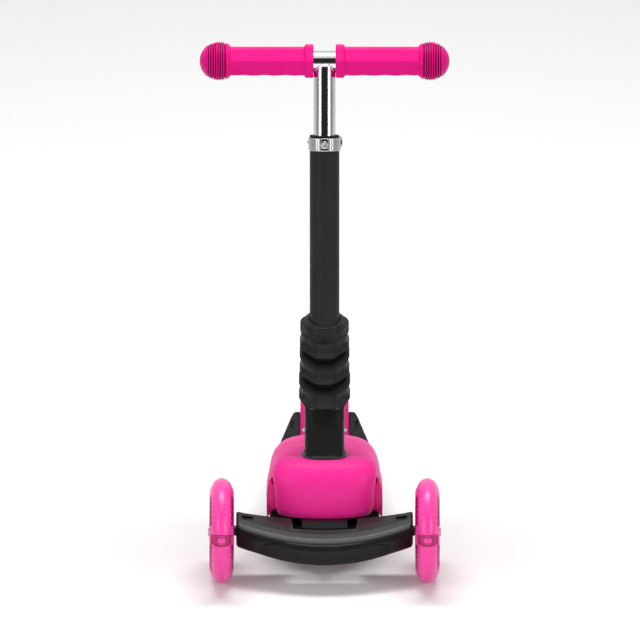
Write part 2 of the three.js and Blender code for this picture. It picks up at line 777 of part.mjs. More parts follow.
function bootRing(along, halfX, halfY, power, corner, frontShare, slopeShare) {
  const y = stemBaseY + along * Math.sin(stemRake);
  const z = stemBaseZ + along * Math.cos(stemRake);
  return roundedRing(halfX, halfY, power, bootSteps, (dx, dy) => {
    const bulge = 1 - corner * Math.cos(8 * Math.atan2(dy, dx));
    const depth = dy * bulge * (dy < 0 ? frontShare : 1);
    const rise = depth * slopeShare * (dy < 0 ? 1 : bootRearRiseShare);
    return new THREE.Vector3(dx * bulge, y + depth, z + rise);
  });
}

function plainBootRing(along, halfX, halfY) {
  return bootRing(along, halfX, halfY, 2, 0, 1, 0);
}

function bellowsBoot() {
  const length = bootTopAlong - bootBottomAlong;
  const foot = bootRing(bootBottomAlong, socketHalfW, socketHalfD / Math.cos(stemRake), socketPower, 0, 1, 0);
  const folds = bootShares.map(([lengthShare, foldShare, frontShare, slopeShare]) => bootRing(
    bootBottomAlong + lengthShare * length, bootFoldR * foldShare, bootFoldR * foldShare, 2, bootCornerShare,
    frontShare, slopeShare));
  const lip = bootRing(bootTopAlong, bootLipR, bootLipR, 2, 0, 1, bootLipSlopeShare);
  const neckRoom = neckR / Math.cos(stemRake) + gap;
  const tubeRoom = outerTubeR / Math.cos(stemRake) + gap;
  const inside = [
    plainBootRing(bootBottomAlong - overrun, neckRoom, neckRoom),
    plainBootRing(bootBottomAlong + gap, neckRoom, neckRoom),
    plainBootRing(stemBoltAlong - stemBoltHeadR, bootRoomHalfW, neckRoom),
    plainBootRing(stemBoltAlong + stemBoltHeadR * half, bootRoomHalfW, neckRoom),
    plainBootRing(neckTopAlong, neckRoom, neckRoom),
    plainBootRing(bootTopAlong - bootNarrowing, neckRoom, neckRoom),
    plainBootRing(bootTopAlong - bootNarrowing + overrun, tubeRoom, tubeRoom),
    plainBootRing(bootTopAlong + bootLipR, tubeRoom, tubeRoom),
  ];
  return loft([foot, ...folds, lip]).subtract(loft(inside));
}

function crossBolt(along) {
  const head = rod(stemBoltHeadR, neckR + gap, neckR + gap + stemBoltHeadH, 'x', [0, along], hexSteps);
  const shank = rod(stemBoltR, -neckR - stemBoltHeadH, neckR + 2 * gap, 'x', [0, along], smallSteps);
  return head.add(shank);
}

function crossNut(along) {
  const nut = rod(stemBoltHeadR, -neckR - gap - stemBoltHeadH, -neckR - gap, 'x', [0, along], hexSteps);
  return nut.subtract(rod(stemBoltR + gap, -deckHalfW, 0, 'x', [0, along], smallSteps));
}

function outerTube() {
  const bore = outerTubeR - outerTubeWall;
  const seat = outerTubeTop - collarH - gap;
  const shell = turned([[bore, tubeSeatAlong], [outerTubeR, tubeSeatAlong], [outerTubeR, seat],
    [collarSeatR, seat], [collarSeatR, outerTubeTop], [bore, outerTubeTop], [bore, tubeSeatAlong]], roundSteps);
  const boltHole = rod(stemBoltR + gap, -outerTubeR * 2, outerTubeR * 2, 'x', [0, stemBoltAlong], smallSteps);
  return cut(shell, [boltHole, buttonHole()]);
}

function buttonHole() {
  return rod(buttonR + gap, -collarR - overrun, 0, 'y', [0, clampAlong], smallSteps);
}

function tubeBush() {
  const outer = outerTubeR - outerTubeWall - gap;
  const inner = barTubeR + gap;
  const top = outerTubeTop + gap + bushFlangeH;
  const profile = [[inner, outerTubeTop - tubeBushL], [outer, outerTubeTop - tubeBushL],
    [outer, outerTubeTop + gap], [outerTubeR, outerTubeTop + gap], [outerTubeR, top - bushFlangeH * half],
    [outerTubeR - bushFlangeH * half, top], [inner, top], [inner, outerTubeTop - tubeBushL]];
  return turned(profile, roundSteps).subtract(buttonHole());
}

function clampCollar() {
  const low = outerTubeTop - collarH;
  const hoop = ring(0, collarR, low, outerTubeTop);
  const lugs = block(-lugHalfW, lugHalfW, 0, lugReach, low, outerTubeTop);
  const bore = rod(collarSeatR + gap, low - overrun, outerTubeTop + overrun);
  const slit = block(-lugSlit * half, lugSlit * half, 0, lugReach + overrun, low - overrun, outerTubeTop + overrun);
  const skewerHole = rod(skewerR + gap, -collarR, collarR, 'x', [clampBack, clampAlong], smallSteps);
  const window = block(-windowHalfW, windowHalfW, -collarR - overrun, windowDepth - collarR,
    clampAlong - windowHalfH, clampAlong + windowHalfH);
  return cut(hoop.add(lugs), [bore, slit, skewerHole, buttonHole(), window]);
}

function clampSkewer() {
  const shank = rod(skewerR, -skewerEndX, leverPinX, 'x', [clampBack, clampAlong], smallSteps);
  const pin = rod(skewerR, clampAlong - leverH * half, clampAlong + leverH * half, 'z',
    [leverPinX, clampBack], smallSteps);
  return shank.add(pin);
}

function clampNut() {
  const from = -lugHalfW - gap - clampNutW;
  const nut = rod(clampNutR, from, -lugHalfW - gap, 'x', [clampBack, clampAlong], hexSteps);
  return nut.subtract(rod(skewerR + gap, from - overrun, 0, 'x', [clampBack, clampAlong], smallSteps));
}

function heightButton() {
  const front = -collarR - buttonProud;
  const head = turned([[0, 0], [buttonR - 2 * gap, 0], [buttonR, 2 * gap], [buttonR, buttonHeadL],
    [0, buttonHeadL]], smallSteps);
  const geometry = faces(head).rotateX(-quarterTurn);
  geometry.translate(0, front, clampAlong);
  const pin = rod(buttonPinR, front + buttonHeadL - gap, buttonTravel - barTubeR + gap, 'y',
    [0, clampAlong], smallSteps);
  return solid(geometry).add(pin);
}

function clampLever() {
  const low = clampAlong - leverH * half;
  const high = clampAlong + leverH * half;
  const blade = prism([
    [leverPinX + leverCamR, clampBack], [leverPinX + leverCamR, lugReach],
    [leverPinX, leverBackY + leverThick * half], [0, leverBackY + leverThick],
    [-leverTipX, leverBackY], [-leverTipX, leverBackY - leverThick],
    [0, leverBackY], [leverPinX - leverCamR + leverThick, lugReach + gap], [leverPinX, clampBack],
  ], low, high);
  const cam = rod(leverCamR, low, high, 'z', [leverPinX, clampBack]);
  const fork = rod(leverForkR, clampAlong - leverForkGap * half, clampAlong + leverForkGap * half, 'z',
    [leverPinX, clampBack]);
  const pinHole = rod(skewerR + gap, low - overrun, high + overrun, 'z', [leverPinX, clampBack], smallSteps);
  return cut(blade.add(cam), [fork, pinHole]);
}

function buildStem() {
  place('stem_socket', stemSocket(), 'black');
  place('socket_gasket', socketGasket(), 'rubber');
  place('bellows_boot', bellowsBoot(), 'rubber');
  place('outer_tube', outerTube(), 'blackMetal', stem);
  place('stem_bolt', crossBolt(stemBoltAlong), 'steel', stem);
  place('stem_nut', crossNut(stemBoltAlong), 'steel', stem);
  place('tube_bush', tubeBush(), 'black', stem);
  place('clamp_collar', clampCollar(), 'chrome', stem);
  place('clamp_skewer', clampSkewer(), 'steel', stem);
  place('clamp_nut', clampNut(), 'steel', stem);
  place('height_button', heightButton(), 'chrome', stem);
  place('clamp_lever', clampLever(), 'chrome', stem);
}

// T bar: upright tube with its row of height notches, cross tube, guide bush and grips
function barTube() {
  const tube = ring(barTubeR - barTubeWall, barTubeR, barBottomAlong, barCentreAlong - barSaddle);
  const saddle = rod(handleTubeR + gap, -barTubeR * 2, barTubeR * 2, 'x', [0, barCentreAlong]);
  const slotLow = clampAlong - barTravel - slotEndRoom;
  const slotW = buttonPinR + 2 * gap;
  const slot = block(-slotW, slotW, -barTubeR - overrun, 0, slotLow, clampAlong + slotEndRoom);
  const notches = Array.from({ length: barNotches }, (_, i) => rod(notchR, -barTubeR - overrun, 0, 'y',
    [0, clampAlong - (i * barTravel) / (barNotches - 1)], smallSteps));
  return cut(tube, [saddle, slot, ...notches]);
}

function guideBush() {
  const low = barBottomAlong + guideBushLift;
  return ring(barTubeR + gap, outerTubeR - outerTubeWall - gap, low, low + guideBushL);
}

function gripRing(x, radius, hexShare) {
  return Array.from({ length: gripSteps }, (_, i) => {
    const turn = (i / gripSteps) * fullTurn - quarterTurn;
    const sector = ((((turn + quarterTurn) / (fullTurn / hexSteps)) % 1) + 1) % 1;
    const offset = (sector - half) * (fullTurn / hexSteps);
    const hex = Math.cos(halfTurn / hexSteps) / Math.cos(offset);
    const r = radius * (1 - hexShare + hexShare * hex);
    return new THREE.Vector3(x, r * Math.sin(turn), barCentreAlong + r * Math.cos(turn + halfTurn));
  });
}

function ballR(x) {
  const off = x - gripBallX;
  return Math.sqrt(Math.max(gripBallR ** 2 - off ** 2, gripTipR ** 2));
}

const gripCapShares = [0, 0.45, 0.75, 0.93, 1];

function grip(side) {
  const flangeEnd = gripStart + gripFlangeW;
  const rings = [
    gripRing(gripStart, gripFlangeR - overrun * half, 1), gripRing(gripStart + gap * 4, gripFlangeR, 1),
    gripRing(flangeEnd - gap * 4, gripFlangeR, 1), gripRing(flangeEnd, gripR + gap, 1),
    gripRing(flangeEnd + overrun, gripR, 1), gripRing(gripBallStartX - overrun, gripR, 1),
    gripRing(gripBallStartX, gripR + gap, half), gripRing(grooveStartX - grooveWidth, ballR(grooveStartX), 0),
  ];
  for (let i = 0; i < grooves; i += 1) {
    const x = grooveStartX + i * groovePitch;
    rings.push(gripRing(x, ballR(x) - grooveDepth, 0));
    rings.push(gripRing(x + groovePitch - grooveWidth, ballR(x + groovePitch - grooveWidth), 0));
  }
  const capStart = grooveStartX + grooves * groovePitch - grooveWidth;
  for (const share of gripCapShares) {
    const x = capStart + share * (gripEnd - capStart);
    rings.push(gripRing(x, ballR(x), 0));
  }
  const bore = rod(handleTubeR + gap, 0, handleHalfL + gap, 'x', [0, barCentreAlong]);
  const body = loft(rings).subtract(bore);
  return side < 0 ? mirrored(body) : body;
}

function buildBar() {
  place('bar_tube', barTube(), 'chrome', stem);
  place('guide_bush', guideBush(), 'black', stem);
  place('handle_tube', solid(faces(ring(handleTubeR - barTubeWall, handleTubeR, -handleHalfL, handleHalfL, 'x'))
    .translate(0, 0, barCentreAlong)), 'chrome', stem);
  place('grip_left', grip(-1), 'pinkRubber', stem);
  place('grip_right', grip(1), 'pinkRubber', stem);
}

// Steering: pivot yoke on the deck, kingpin, rubber bushes and the bowed axle beam
function kingpinRod(radius, from, to, steps = roundSteps) {
  return moved(rod(radius, from, to, 'z', [0, 0], steps), kingpin);
}

function pivotYoke() {
  const low = -yokeArmGap - yokeLowerArm;
  const high = yokeArmGap + yokeUpperArm;
  const outline = [[yokeHalfW, yokeLength], [yokeHalfW, yokeCorner - yokeReach], [yokeHalfW - yokeCorner, -yokeReach]];
  const both = [...outline, ...outline.map(([x, y]) => [-x, y]).reverse()];
  const tail = block(-yokeHalfW, yokeHalfW, yokeTailY, yokeRearY, yokeBottomZ, yokeTopZ);
  const flange = block(-yokeFlangeHalfW, yokeFlangeHalfW, yokeFlangeY, yokeRearY, yokeBottomZ, deckBottomZ - gap);
  const slot = moved(block(-yokeHalfW - overrun, yokeHalfW + overrun, -yokeReach - overrun, yokeSlotBack,
    -yokeArmGap, yokeArmGap), kingpin);
  const bolts = [-1, 1].map((side) => rod(yokeBoltR + gap, 0, deckTopZ, 'z', [side * yokeBoltX, yokeBoltY],
    smallSteps));
  return cut(joined([moved(prism(both, low, high), kingpin), tail, flange]), [
    slot,
    block(-deckHalfW, deckHalfW, -yokeRearY, yokeRearY, yokeFrontTopZ, rearEndY),
    block(-deckHalfW, deckHalfW, yokeNoseY, yokeRearY, yokeTopZ, rearEndY),
    kingpinRod(kingpinR + gap, low - overrun, yokeArmGap + kingpinBite + gap),
    ...bolts,
  ]);
}

function kingpinBolt() {
  const seat = -yokeArmGap - yokeLowerArm - gap - washerH - gap;
  const head = rod(kingpinHeadR, seat - kingpinHeadH, seat, 'z', [0, 0], hexSteps);
  return head.add(rod(kingpinR, seat - gap, yokeArmGap + kingpinBite, 'z', [0, 0], smallSteps));
}

function kingpinWasher() {
  const seat = -yokeArmGap - yokeLowerArm - gap;
  return ring(kingpinR + gap, washerR, seat - washerH, seat, 'z', smallSteps);
}

function steerBush(side) {
  const [near, far] = [side * (bossHalfH + gap), side * (yokeArmGap - gap)];
  return ring(kingpinR + gap, steerBushR, Math.min(near, far), Math.max(near, far));
}

// The beam section: points set back from the bowed front edge, then points set off the rear edge,
// as shares of the nose depth and of the height
const beamFrontShares = [
  [0.36, 1], [0.14, 0.95], [0.02, 0.8], [-0.06, 0.5], [0.02, 0.2], [0.16, 0.03], [0.4, 0],
];
const beamRearShares = [[-0.4, 0.04], [0, 0.3], [0, 0.88], [-0.07, 1]];

function beamRing(x, grow = 0) {
  const bend = 1 - (x / beamHalfL) ** 2;
  const top = beamEndTopZ - beamSag * bend;
  const bottom = beamEndBottomZ - beamDrop * bend - grow;
  const front = beamEndFrontY - beamBow * bend - grow;
  const point = (edge, [depthShare, heightShare]) => new THREE.Vector3(x,
    edge + depthShare * beamNoseDepth, bottom + heightShare * (top - bottom));
  return [...beamFrontShares.map((row) => point(front, row)), ...beamRearShares.map((row) => point(beamRearY, row))];
}

function beamX(i, halfLength) {
  return -halfLength + (2 * halfLength * i) / beamStations;
}

function beamSweep() {
  return loft(Array.from({ length: beamStations + 1 }, (_, i) => beamRing(beamX(i, beamHalfL))));
}

// The web from the pivot boss to the beam, as shares of its reach and of its rise
const webShares = [
  [0.42, 0.305], [0.516, 0.67], [0.6, 1], [1, 0.67], [0.8, -0.061], [0.4, -0.305],
];

function axleBeam() {
  const ends = [-1, 1].map((side) => rod(beamBossR, side * (beamHalfL - overrun), side * beamBossX, 'x',
    [0, frontAxleZ], smallSteps));
  const webOutline = webShares.map(([reachShare, riseShare]) => [-webReach * reachShare, webRise * riseShare]);
  const web = moved(sidePrism([[0, bossHalfH], ...webOutline, [0, -bossHalfH]], -webHalfW, webHalfW), kingpin);
  const boss = kingpinRod(bossR, -bossHalfH, bossHalfH);
  const tools = [kingpinRod(kingpinR + gap, -yokeHalfW, yokeHalfW)];
  for (const side of [-1, 1]) {
    const slotX = side * (beamHalfL - beamSlotInset);
    tools.push(rod(axleBoltR + gap, side * (beamHalfL - beamBoltBite), side * frontWheelX, 'x',
      [0, frontAxleZ], smallSteps));
    tools.push(block(slotX - beamSlotLength * half, slotX + beamSlotLength * half,
      beamRearY * half, beamRearY * half + beamSlotWidth, beamEndTopZ - beamSlotDepth, beamEndTopZ + overrun));
  }
  const notch = block(-beamNotchHalfW, beamNotchHalfW, beamNotchY, beamRearY + overrun, 0, rearEndY);
  return cut(joined([beamSweep().subtract(notch), boss, web, ...ends]), tools);
}

// The chin below the beam: a crescent shell that hugs the lower front of the beam
function beamFascia() {
  const fasciaHalfL = beamHalfL - fasciaInset;
  const rings = (grow) => Array.from({ length: beamStations + 1 }, (_, i) => {
    const x = beamX(i, fasciaHalfL);
    const fade = 1 - (x / fasciaHalfL) ** 2;
    return beamRing(x, grow * fade);
  });
  const skin = loft(rings(gap * 2 + fasciaThick));
  const room = loft(Array.from({ length: beamStations + 1 }, (_, i) =>
    beamRing(beamX(i, beamHalfL), gap)));
  const upper = loft(Array.from({ length: beamStations + 1 }, (_, i) => {
    const x = beamX(i, beamHalfL);
    const ledge = fasciaLedgeZ - fasciaRise * (x / fasciaHalfL) ** 2;
    return [[-frontAxleZ, ledge], [frontAxleZ, ledge], [frontAxleZ, rearEndY], [-frontAxleZ, rearEndY]]
      .map(([y, z]) => new THREE.Vector3(x, y, z));
  }));
  const behind = block(-beamHalfL, beamHalfL, fasciaRearY, rearEndY, 0, rearEndY);
  return cut(skin, [room, upper, behind]);
}

function buildSteering() {
  place('pivot_yoke', pivotYoke(), 'black');
  place('kingpin_bolt', kingpinBolt(), 'steel', kingpin);
  place('kingpin_washer', kingpinWasher(), 'steel', kingpin);
  place('steering_bush_lower', steerBush(-1), 'rubber', kingpin);
  place('steering_bush_upper', steerBush(1), 'rubber', kingpin);
  for (const [name, side] of [['left', -1], ['right', 1]]) {
    const seat = yokeBottomZ - gap;
    const head = rod(boltHeadR, seat - boltHeadW, seat, 'z', [side * yokeBoltX, yokeBoltY], hexSteps);
    const shank = rod(yokeBoltR, seat - gap, seat + yokeBoltLength * half + gap, 'z',
      [side * yokeBoltX, yokeBoltY], smallSteps);
    place(`yoke_bolt_${name}`, head.add(shank), 'steel');
  }
  place('axle_beam', axleBeam(), 'black');
  place('beam_fascia', beamFascia(), 'black');
}

// Wheels turn about X; every part is made round its own centre and put in a group at the axle
const tyreSideShares = [[0, 0.8], [0.3, 0.98], [0.6, 1], [0.85, 0.86], [0.975, 0.5]];

function tyre(radius, width, innerR, steps) {
  const w = width * half;
  const depth = radius - innerR;
  const right = tyreSideShares.map(([depthShare, widthShare]) => [innerR + depthShare * depth, widthShare * w]);
  const left = right.map(([r, x]) => [r, -x]);
  const profile = [...right, [radius, 0], ...left.reverse(), right[0]];
  return turned(profile, steps, 'x');
}

// The pocket for the light across the tread, turned to its place from straight up
const lightPlace = new THREE.Matrix4().makeRotationX(quarterTurn - lightAngle);

function lightPocket() {
  const pocket = block(-frontWheelW, frontWheelW, -lightPocketLength * half, lightPocketLength * half,
    frontWheelR - lightPocketDepth, frontWheelR + overrun);
  return solid(faces(pocket).applyMatrix4(lightPlace));
}

function wheelLight() {
  const low = frontWheelR - lightPocketDepth + gap;
  const high = frontWheelR - lightRecess;
  const room = lightPocketLength * half - gap;
  const wide = frontWheelW * half;
  const lens = block(-wide, wide, -room, room, low, high);
  const led = turned([[0, high - gap], [lightLedR, high - gap], [lightLedR, high + gap],
    [lightLedR * half, high + lightRecess * half], [0, high + lightRecess * half]], smallSteps);
  const trim = tyre(frontWheelR - gap, frontWheelW - 2 * gap, frontTyreInnerR, wheelSteps);
  return solid(faces(lens.add(led)).applyMatrix4(lightPlace)).intersect(trim);
}

function spokedHub(outerR, width, bossHalf, rimWall, webWidth, bossOuterR, spokes) {
  const w = width * half;
  const rimR = outerR - rimWall;
  const [edge, lip] = [w * rimEdgeShare, w * rimInnerShare];
  const rim = turned([[rimR, -lip], [outerR, -edge], [outerR, edge], [rimR, lip], [rimR, -lip]],
    wheelSteps, 'x');
  const boss = rod(bossOuterR, -bossHalf, bossHalf, 'x');
  const arms = Array.from({ length: spokes }, (_, i) => {
    const arm = block(-webWidth * half, webWidth * half, -frontSpokeWidth * half, frontSpokeWidth * half,
      bossOuterR * half, rimR + rimWall * half);
    return solid(faces(arm).rotateX((i / spokes) * fullTurn));
  });
  return joined([rim, boss, ...arms]);
}

function boredHub(hub, bossHalf) {
  const seat = bossHalf - bearingW;
  return cut(hub, [
    rod(spacerR + gap, -bossHalf * 2, bossHalf * 2, 'x', [0, 0], smallSteps),
    rod(bearingR + gap, seat, bossHalf + overrun, 'x'),
    rod(bearingR + gap, -bossHalf - overrun, -seat, 'x'),
  ]);
}

function solidHub(outerR, width, rimWall, webWidth, bossOuterR) {
  const w = width * half;
  const rimR = outerR - rimWall;
  const web = webWidth * half;
  const [edge, lip] = [w * rimEdgeShare, w * rimInnerShare];
  return turned([[0, -w + runGap], [bossOuterR, -w + runGap], [bossOuterR, -web], [rimR, -web],
    [rimR, -lip], [outerR, -edge], [outerR, edge], [rimR, lip], [rimR, web],
    [bossOuterR, web], [bossOuterR, w - runGap], [0, w - runGap]], rearWheelSteps, 'x');
}

function bearing(side, bossHalf) {
  const inner = bossHalf - bearingW + gap;
  const [from, to] = [side * inner, side * (inner + bearingW - gap)];
  return ring(bearingBoreR, bearingR, Math.min(from, to), Math.max(from, to), 'x', smallSteps);
}

function wheelCore(prefix, bossHalf, group) {
  const spacerHalf = bossHalf - bearingW;
  place(`${prefix}_bearing_left`, bearing(-1, bossHalf), 'steel', group);
  place(`${prefix}_bearing_right`, bearing(1, bossHalf), 'steel', group);
  place(`${prefix}_spacer`, ring(axleBoltR + gap, spacerR, -spacerHalf, spacerHalf, 'x', smallSteps), 'steel', group);
}

function buildFrontWheel(name, side) {
  const group = new THREE.Group();
  group.position.set(side * frontWheelX, 0, frontAxleZ);
  scooter.add(group);
  const blank = tyre(frontWheelR, frontWheelW, frontTyreInnerR, wheelSteps);
  place(`front_tyre_${name}`, blank.subtract(lightPocket()), 'pinkClear', group);
  place(`wheel_light_${name}`, wheelLight(), 'lens', group);
  const hub = spokedHub(frontTyreInnerR - gap, frontWheelW, frontBossHalf, frontRimWall, frontWebWidth, frontBossR,
    frontSpokes);
  place(`front_hub_${name}`, boredHub(hub, frontBossHalf), 'pink', group);
  wheelCore(`front_wheel_${name}`, frontBossHalf, group);
  const inner = beamHalfL - beamBoltBite + overrun - frontWheelX;
  const outer = frontBossHalf + gap;
  place(`axle_bolt_${name}`, axleBolt(side, inner, outer), 'steel', group);
}

function axleBolt(side, from, seat) {
  const shank = rod(axleBoltR, side * from, side * (seat + gap), 'x', [0, 0], smallSteps);
  const head = rod(boltHeadR, side * seat, side * (seat + boltHeadW), 'x', [0, 0], smallSteps);
  const drive = rod(socketR, side * (seat + boltHeadW - socketDepth), side * (seat + boltHeadW + overrun), 'x',
    [0, 0], hexSteps);
  return shank.add(head).subtract(drive);
}

function buildRearWheel() {
  const group = new THREE.Group();
  group.position.set(0, wheelBase, rearAxleZ);
  scooter.add(group);
  place('rear_tyre', tyre(rearWheelR, rearWheelW, rearTyreInnerR, rearWheelSteps), 'pinkClear', group);
  const bossHalf = rearWheelW * half - runGap;
  place('rear_hub', boredHub(solidHub(rearTyreInnerR - gap, rearWheelW, rearRimWall, rearWebWidth, rearBossR),
    bossHalf), 'pink', group);
  wheelCore('rear_wheel', bossHalf, group);
  const face = rearWheelW * half + 2 * runGap + forkArmW + gap;
  const reach = face + nutW;
  place('rear_axle_bolt', axleBolt(1, -reach, face), 'steel', group);
  const nut = rod(boltHeadR, -face - nutW, -face, 'x', [0, 0], hexSteps);
  place('rear_axle_nut', nut.subtract(rod(axleBoltR + gap, -reach - overrun, 0, 'x', [0, 0], smallSteps)),
    'steel', group);
}

// Fender: an arched shell swept round the rear wheel, with a tongue to its hinge pin
function fenderRing(turn, grow, skirtR) {
  const outer = fenderInnerR + fenderWall + grow;
  const w = fenderHalfW + grow;
  const corner = fenderCorner;
  const section = [[-w, skirtR], [-w, outer - corner], [corner - w, outer], [w - corner, outer],
    [w, outer - corner], [w, skirtR]];
  return section.map(([x, r]) => new THREE.Vector3(x, wheelBase + r * Math.cos(turn), rearAxleZ + r * Math.sin(turn)));
}

function fenderArc(from, to, grow, skirtR) {
  const steps = smallSteps;
  return loft(Array.from({ length: steps + 1 }, (_, i) => fenderRing(from + ((to - from) * i) / steps, grow, skirtR)));
}

function rearFender() {
  const outer = fenderArc(fenderStart, fenderEnd, 0, fenderInnerR - fenderSkirt);
  const room = fenderArc(fenderStart - fenderOpening, fenderEnd + fenderOpening, -fenderWall, rearTyreInnerR);
  const knuckle = rod(fenderKnuckleR, -fenderKnuckleHalfW, fenderKnuckleHalfW, 'x', [fenderPinY, fenderPinZ],
    smallSteps);
  const endY = wheelBase + (fenderInnerR + fenderWall * half) * Math.cos(fenderEnd);
  const endZ = rearAxleZ + (fenderInnerR + fenderWall * half) * Math.sin(fenderEnd);
  const tongue = sidePrism([[fenderPinY, fenderPinZ - fenderWall * half], [endY + overrun, endZ],
    [endY + overrun, endZ + 2 * fenderWall], [fenderPinY, fenderPinZ + fenderKnuckleR]],
  -fenderKnuckleHalfW, fenderKnuckleHalfW);
  const pinHole = rod(fenderPinR + gap, -fenderHalfW, fenderHalfW, 'x', [fenderPinY, fenderPinZ], smallSteps);
  return cut(joined([outer, knuckle, tongue]), [room, pinHole]);
}

function brakePlate() {
  const top = fenderInnerR - 2 * gap;
  const steps = hexSteps;
  return loft(Array.from({ length: steps + 1 }, (_, i) => {
    const turn = brakeStart + ((brakeEnd - brakeStart) * i) / steps;
    return [[-brakeHalfW, top - brakeThick], [brakeHalfW, top - brakeThick], [brakeHalfW, top], [-brakeHalfW, top]]
      .map(([x, r]) => new THREE.Vector3(x, wheelBase + r * Math.cos(turn), rearAxleZ + r * Math.sin(turn)));
  }));
}

function buildFender() {
  place('rear_fender', rearFender(), 'pink');
  place('brake_plate', brakePlate(), 'steel');
  const ends = fenderKnuckleHalfW + gap + fenderEarW;
  place('fender_pin', rod(fenderPinR, -ends, ends, 'x', [fenderPinY, fenderPinZ], smallSteps), 'steel');
}

buildDeck();
buildHood();
buildStem();
buildBar();
buildSteering();
buildFrontWheel('left', -1);
buildFrontWheel('right', 1);
buildRearWheel();
buildFender();

export default scooter;
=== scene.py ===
"""Looks of the three wheel kids scooter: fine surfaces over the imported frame, finishes, stage and lights.

Shapes are worked out in millimetres in the maker's frame: X across, Y back from the front axle, Z up.
"""
import json
import math

import bmesh
import bpy
import numpy as np
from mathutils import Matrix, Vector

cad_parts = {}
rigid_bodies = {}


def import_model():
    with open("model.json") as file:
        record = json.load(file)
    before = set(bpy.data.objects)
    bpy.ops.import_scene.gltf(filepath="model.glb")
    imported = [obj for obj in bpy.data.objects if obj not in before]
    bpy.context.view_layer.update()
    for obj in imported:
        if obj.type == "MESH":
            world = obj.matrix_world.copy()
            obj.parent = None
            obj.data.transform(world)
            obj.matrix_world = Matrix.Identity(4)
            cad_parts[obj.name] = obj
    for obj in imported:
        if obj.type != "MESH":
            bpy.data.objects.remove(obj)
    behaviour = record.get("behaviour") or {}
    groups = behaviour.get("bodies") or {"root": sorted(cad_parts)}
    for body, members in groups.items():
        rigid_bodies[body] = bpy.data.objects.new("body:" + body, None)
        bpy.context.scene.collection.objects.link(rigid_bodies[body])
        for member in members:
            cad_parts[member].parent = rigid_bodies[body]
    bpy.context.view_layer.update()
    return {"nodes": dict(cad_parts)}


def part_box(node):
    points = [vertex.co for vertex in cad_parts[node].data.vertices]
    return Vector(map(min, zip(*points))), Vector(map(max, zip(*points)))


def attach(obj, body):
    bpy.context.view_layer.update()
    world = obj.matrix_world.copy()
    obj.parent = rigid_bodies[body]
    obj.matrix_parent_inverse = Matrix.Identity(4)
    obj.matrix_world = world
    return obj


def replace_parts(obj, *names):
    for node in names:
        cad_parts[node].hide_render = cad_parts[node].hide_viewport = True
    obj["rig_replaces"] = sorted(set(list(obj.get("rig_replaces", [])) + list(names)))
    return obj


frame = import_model()
NODES = frame["nodes"]

# Millimetres in a metre
MM = 1000.0


def node_middle(node):
    """The middle of a node's box, in millimetres of the row's frame."""
    low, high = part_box(node)
    return (low + high) / 2 * MM


# The row's frame puts the middle of the scooter at y 0; the maker's frame starts at the front axle
ROW_Y = -node_middle("front_tyre_left").y
WHEEL_X = node_middle("front_tyre_right").x
REAR_AXLE_Y = ROW_Y + node_middle("rear_tyre").y

# Driving dimensions
GAP = 0.3
STEM_RAKE = math.radians(18.5)
HOOD_TILT = math.radians(8)
STEM_Y, STEM_Z = 84.0, 117.0
FRONT_R, FRONT_W, FRONT_INNER_R = 60.0, 28.0, 40.0
REAR_R, REAR_W, REAR_INNER_R = 40.0, 24.0, 26.0
DECK_TOP, DECK_BOTTOM = 66.0, 46.0
DECK_FRONT, DECK_REAR = 44.0, 313.0
DECK_HALF_W, DECK_REAR_HALF_W, DECK_TAIL_HALF_W = 63.0, 30.6, 26.0
SPINE_HALF_W = 28.0
BEAM_HALF_L = 101.0
NOSE_HALF_W, NOSE_DEPTH, NOSE_REAR = 58.0, 48.0, 78.0
SHOULDER_HALF_W, SHOULDER_FRONT, SHOULDER_REAR = 66.3, 66.0, 230.0
HOOD_WALL, SHOULDER_FOOT, CHEEK_SLOPE = 3.0, 50.0, 0.3
COLLAR_R, COLLAR_LOW, COLLAR_TOP = 18.4, 350.0, 365.0
CLAMP_ALONG = (COLLAR_LOW + COLLAR_TOP) / 2
BAR_ALONG = 452.5
TUBE_R, BAR_R, HANDLE_R = 17.0, 12.4, 11.45


# Placing: from a part's own lean to the maker's frame, and from there to the row

def seat(points):
    """The maker's millimetres as the row's metres: y loses the row's offset, and all is divided by MM."""
    return (np.asarray(points, float) - (0.0, ROW_Y, 0.0)) / MM


def leaned(points, turn, y, z):
    """Points (across, back, up) turned about X so that up leans back by the turn, then moved to y and z."""
    p = np.asarray(points, float)
    c, s = math.cos(turn), math.sin(turn)
    return np.stack([p[..., 0], y + p[..., 1] * c + p[..., 2] * s, z - p[..., 1] * s + p[..., 2] * c], -1)


def on_stem(points):
    """Points about the stem: across, back and along the raked tube."""
    return leaned(points, STEM_RAKE, STEM_Y, STEM_Z)


def on_hood_top(points):
    """Points about the seat of the stem in the tilted top of the hood."""
    return leaned(points, HOOD_TILT, STEM_Y, STEM_Z)


# Lines

def unit(v):
    return v / np.maximum(np.linalg.norm(v, axis=-1, keepdims=True), 1e-9)


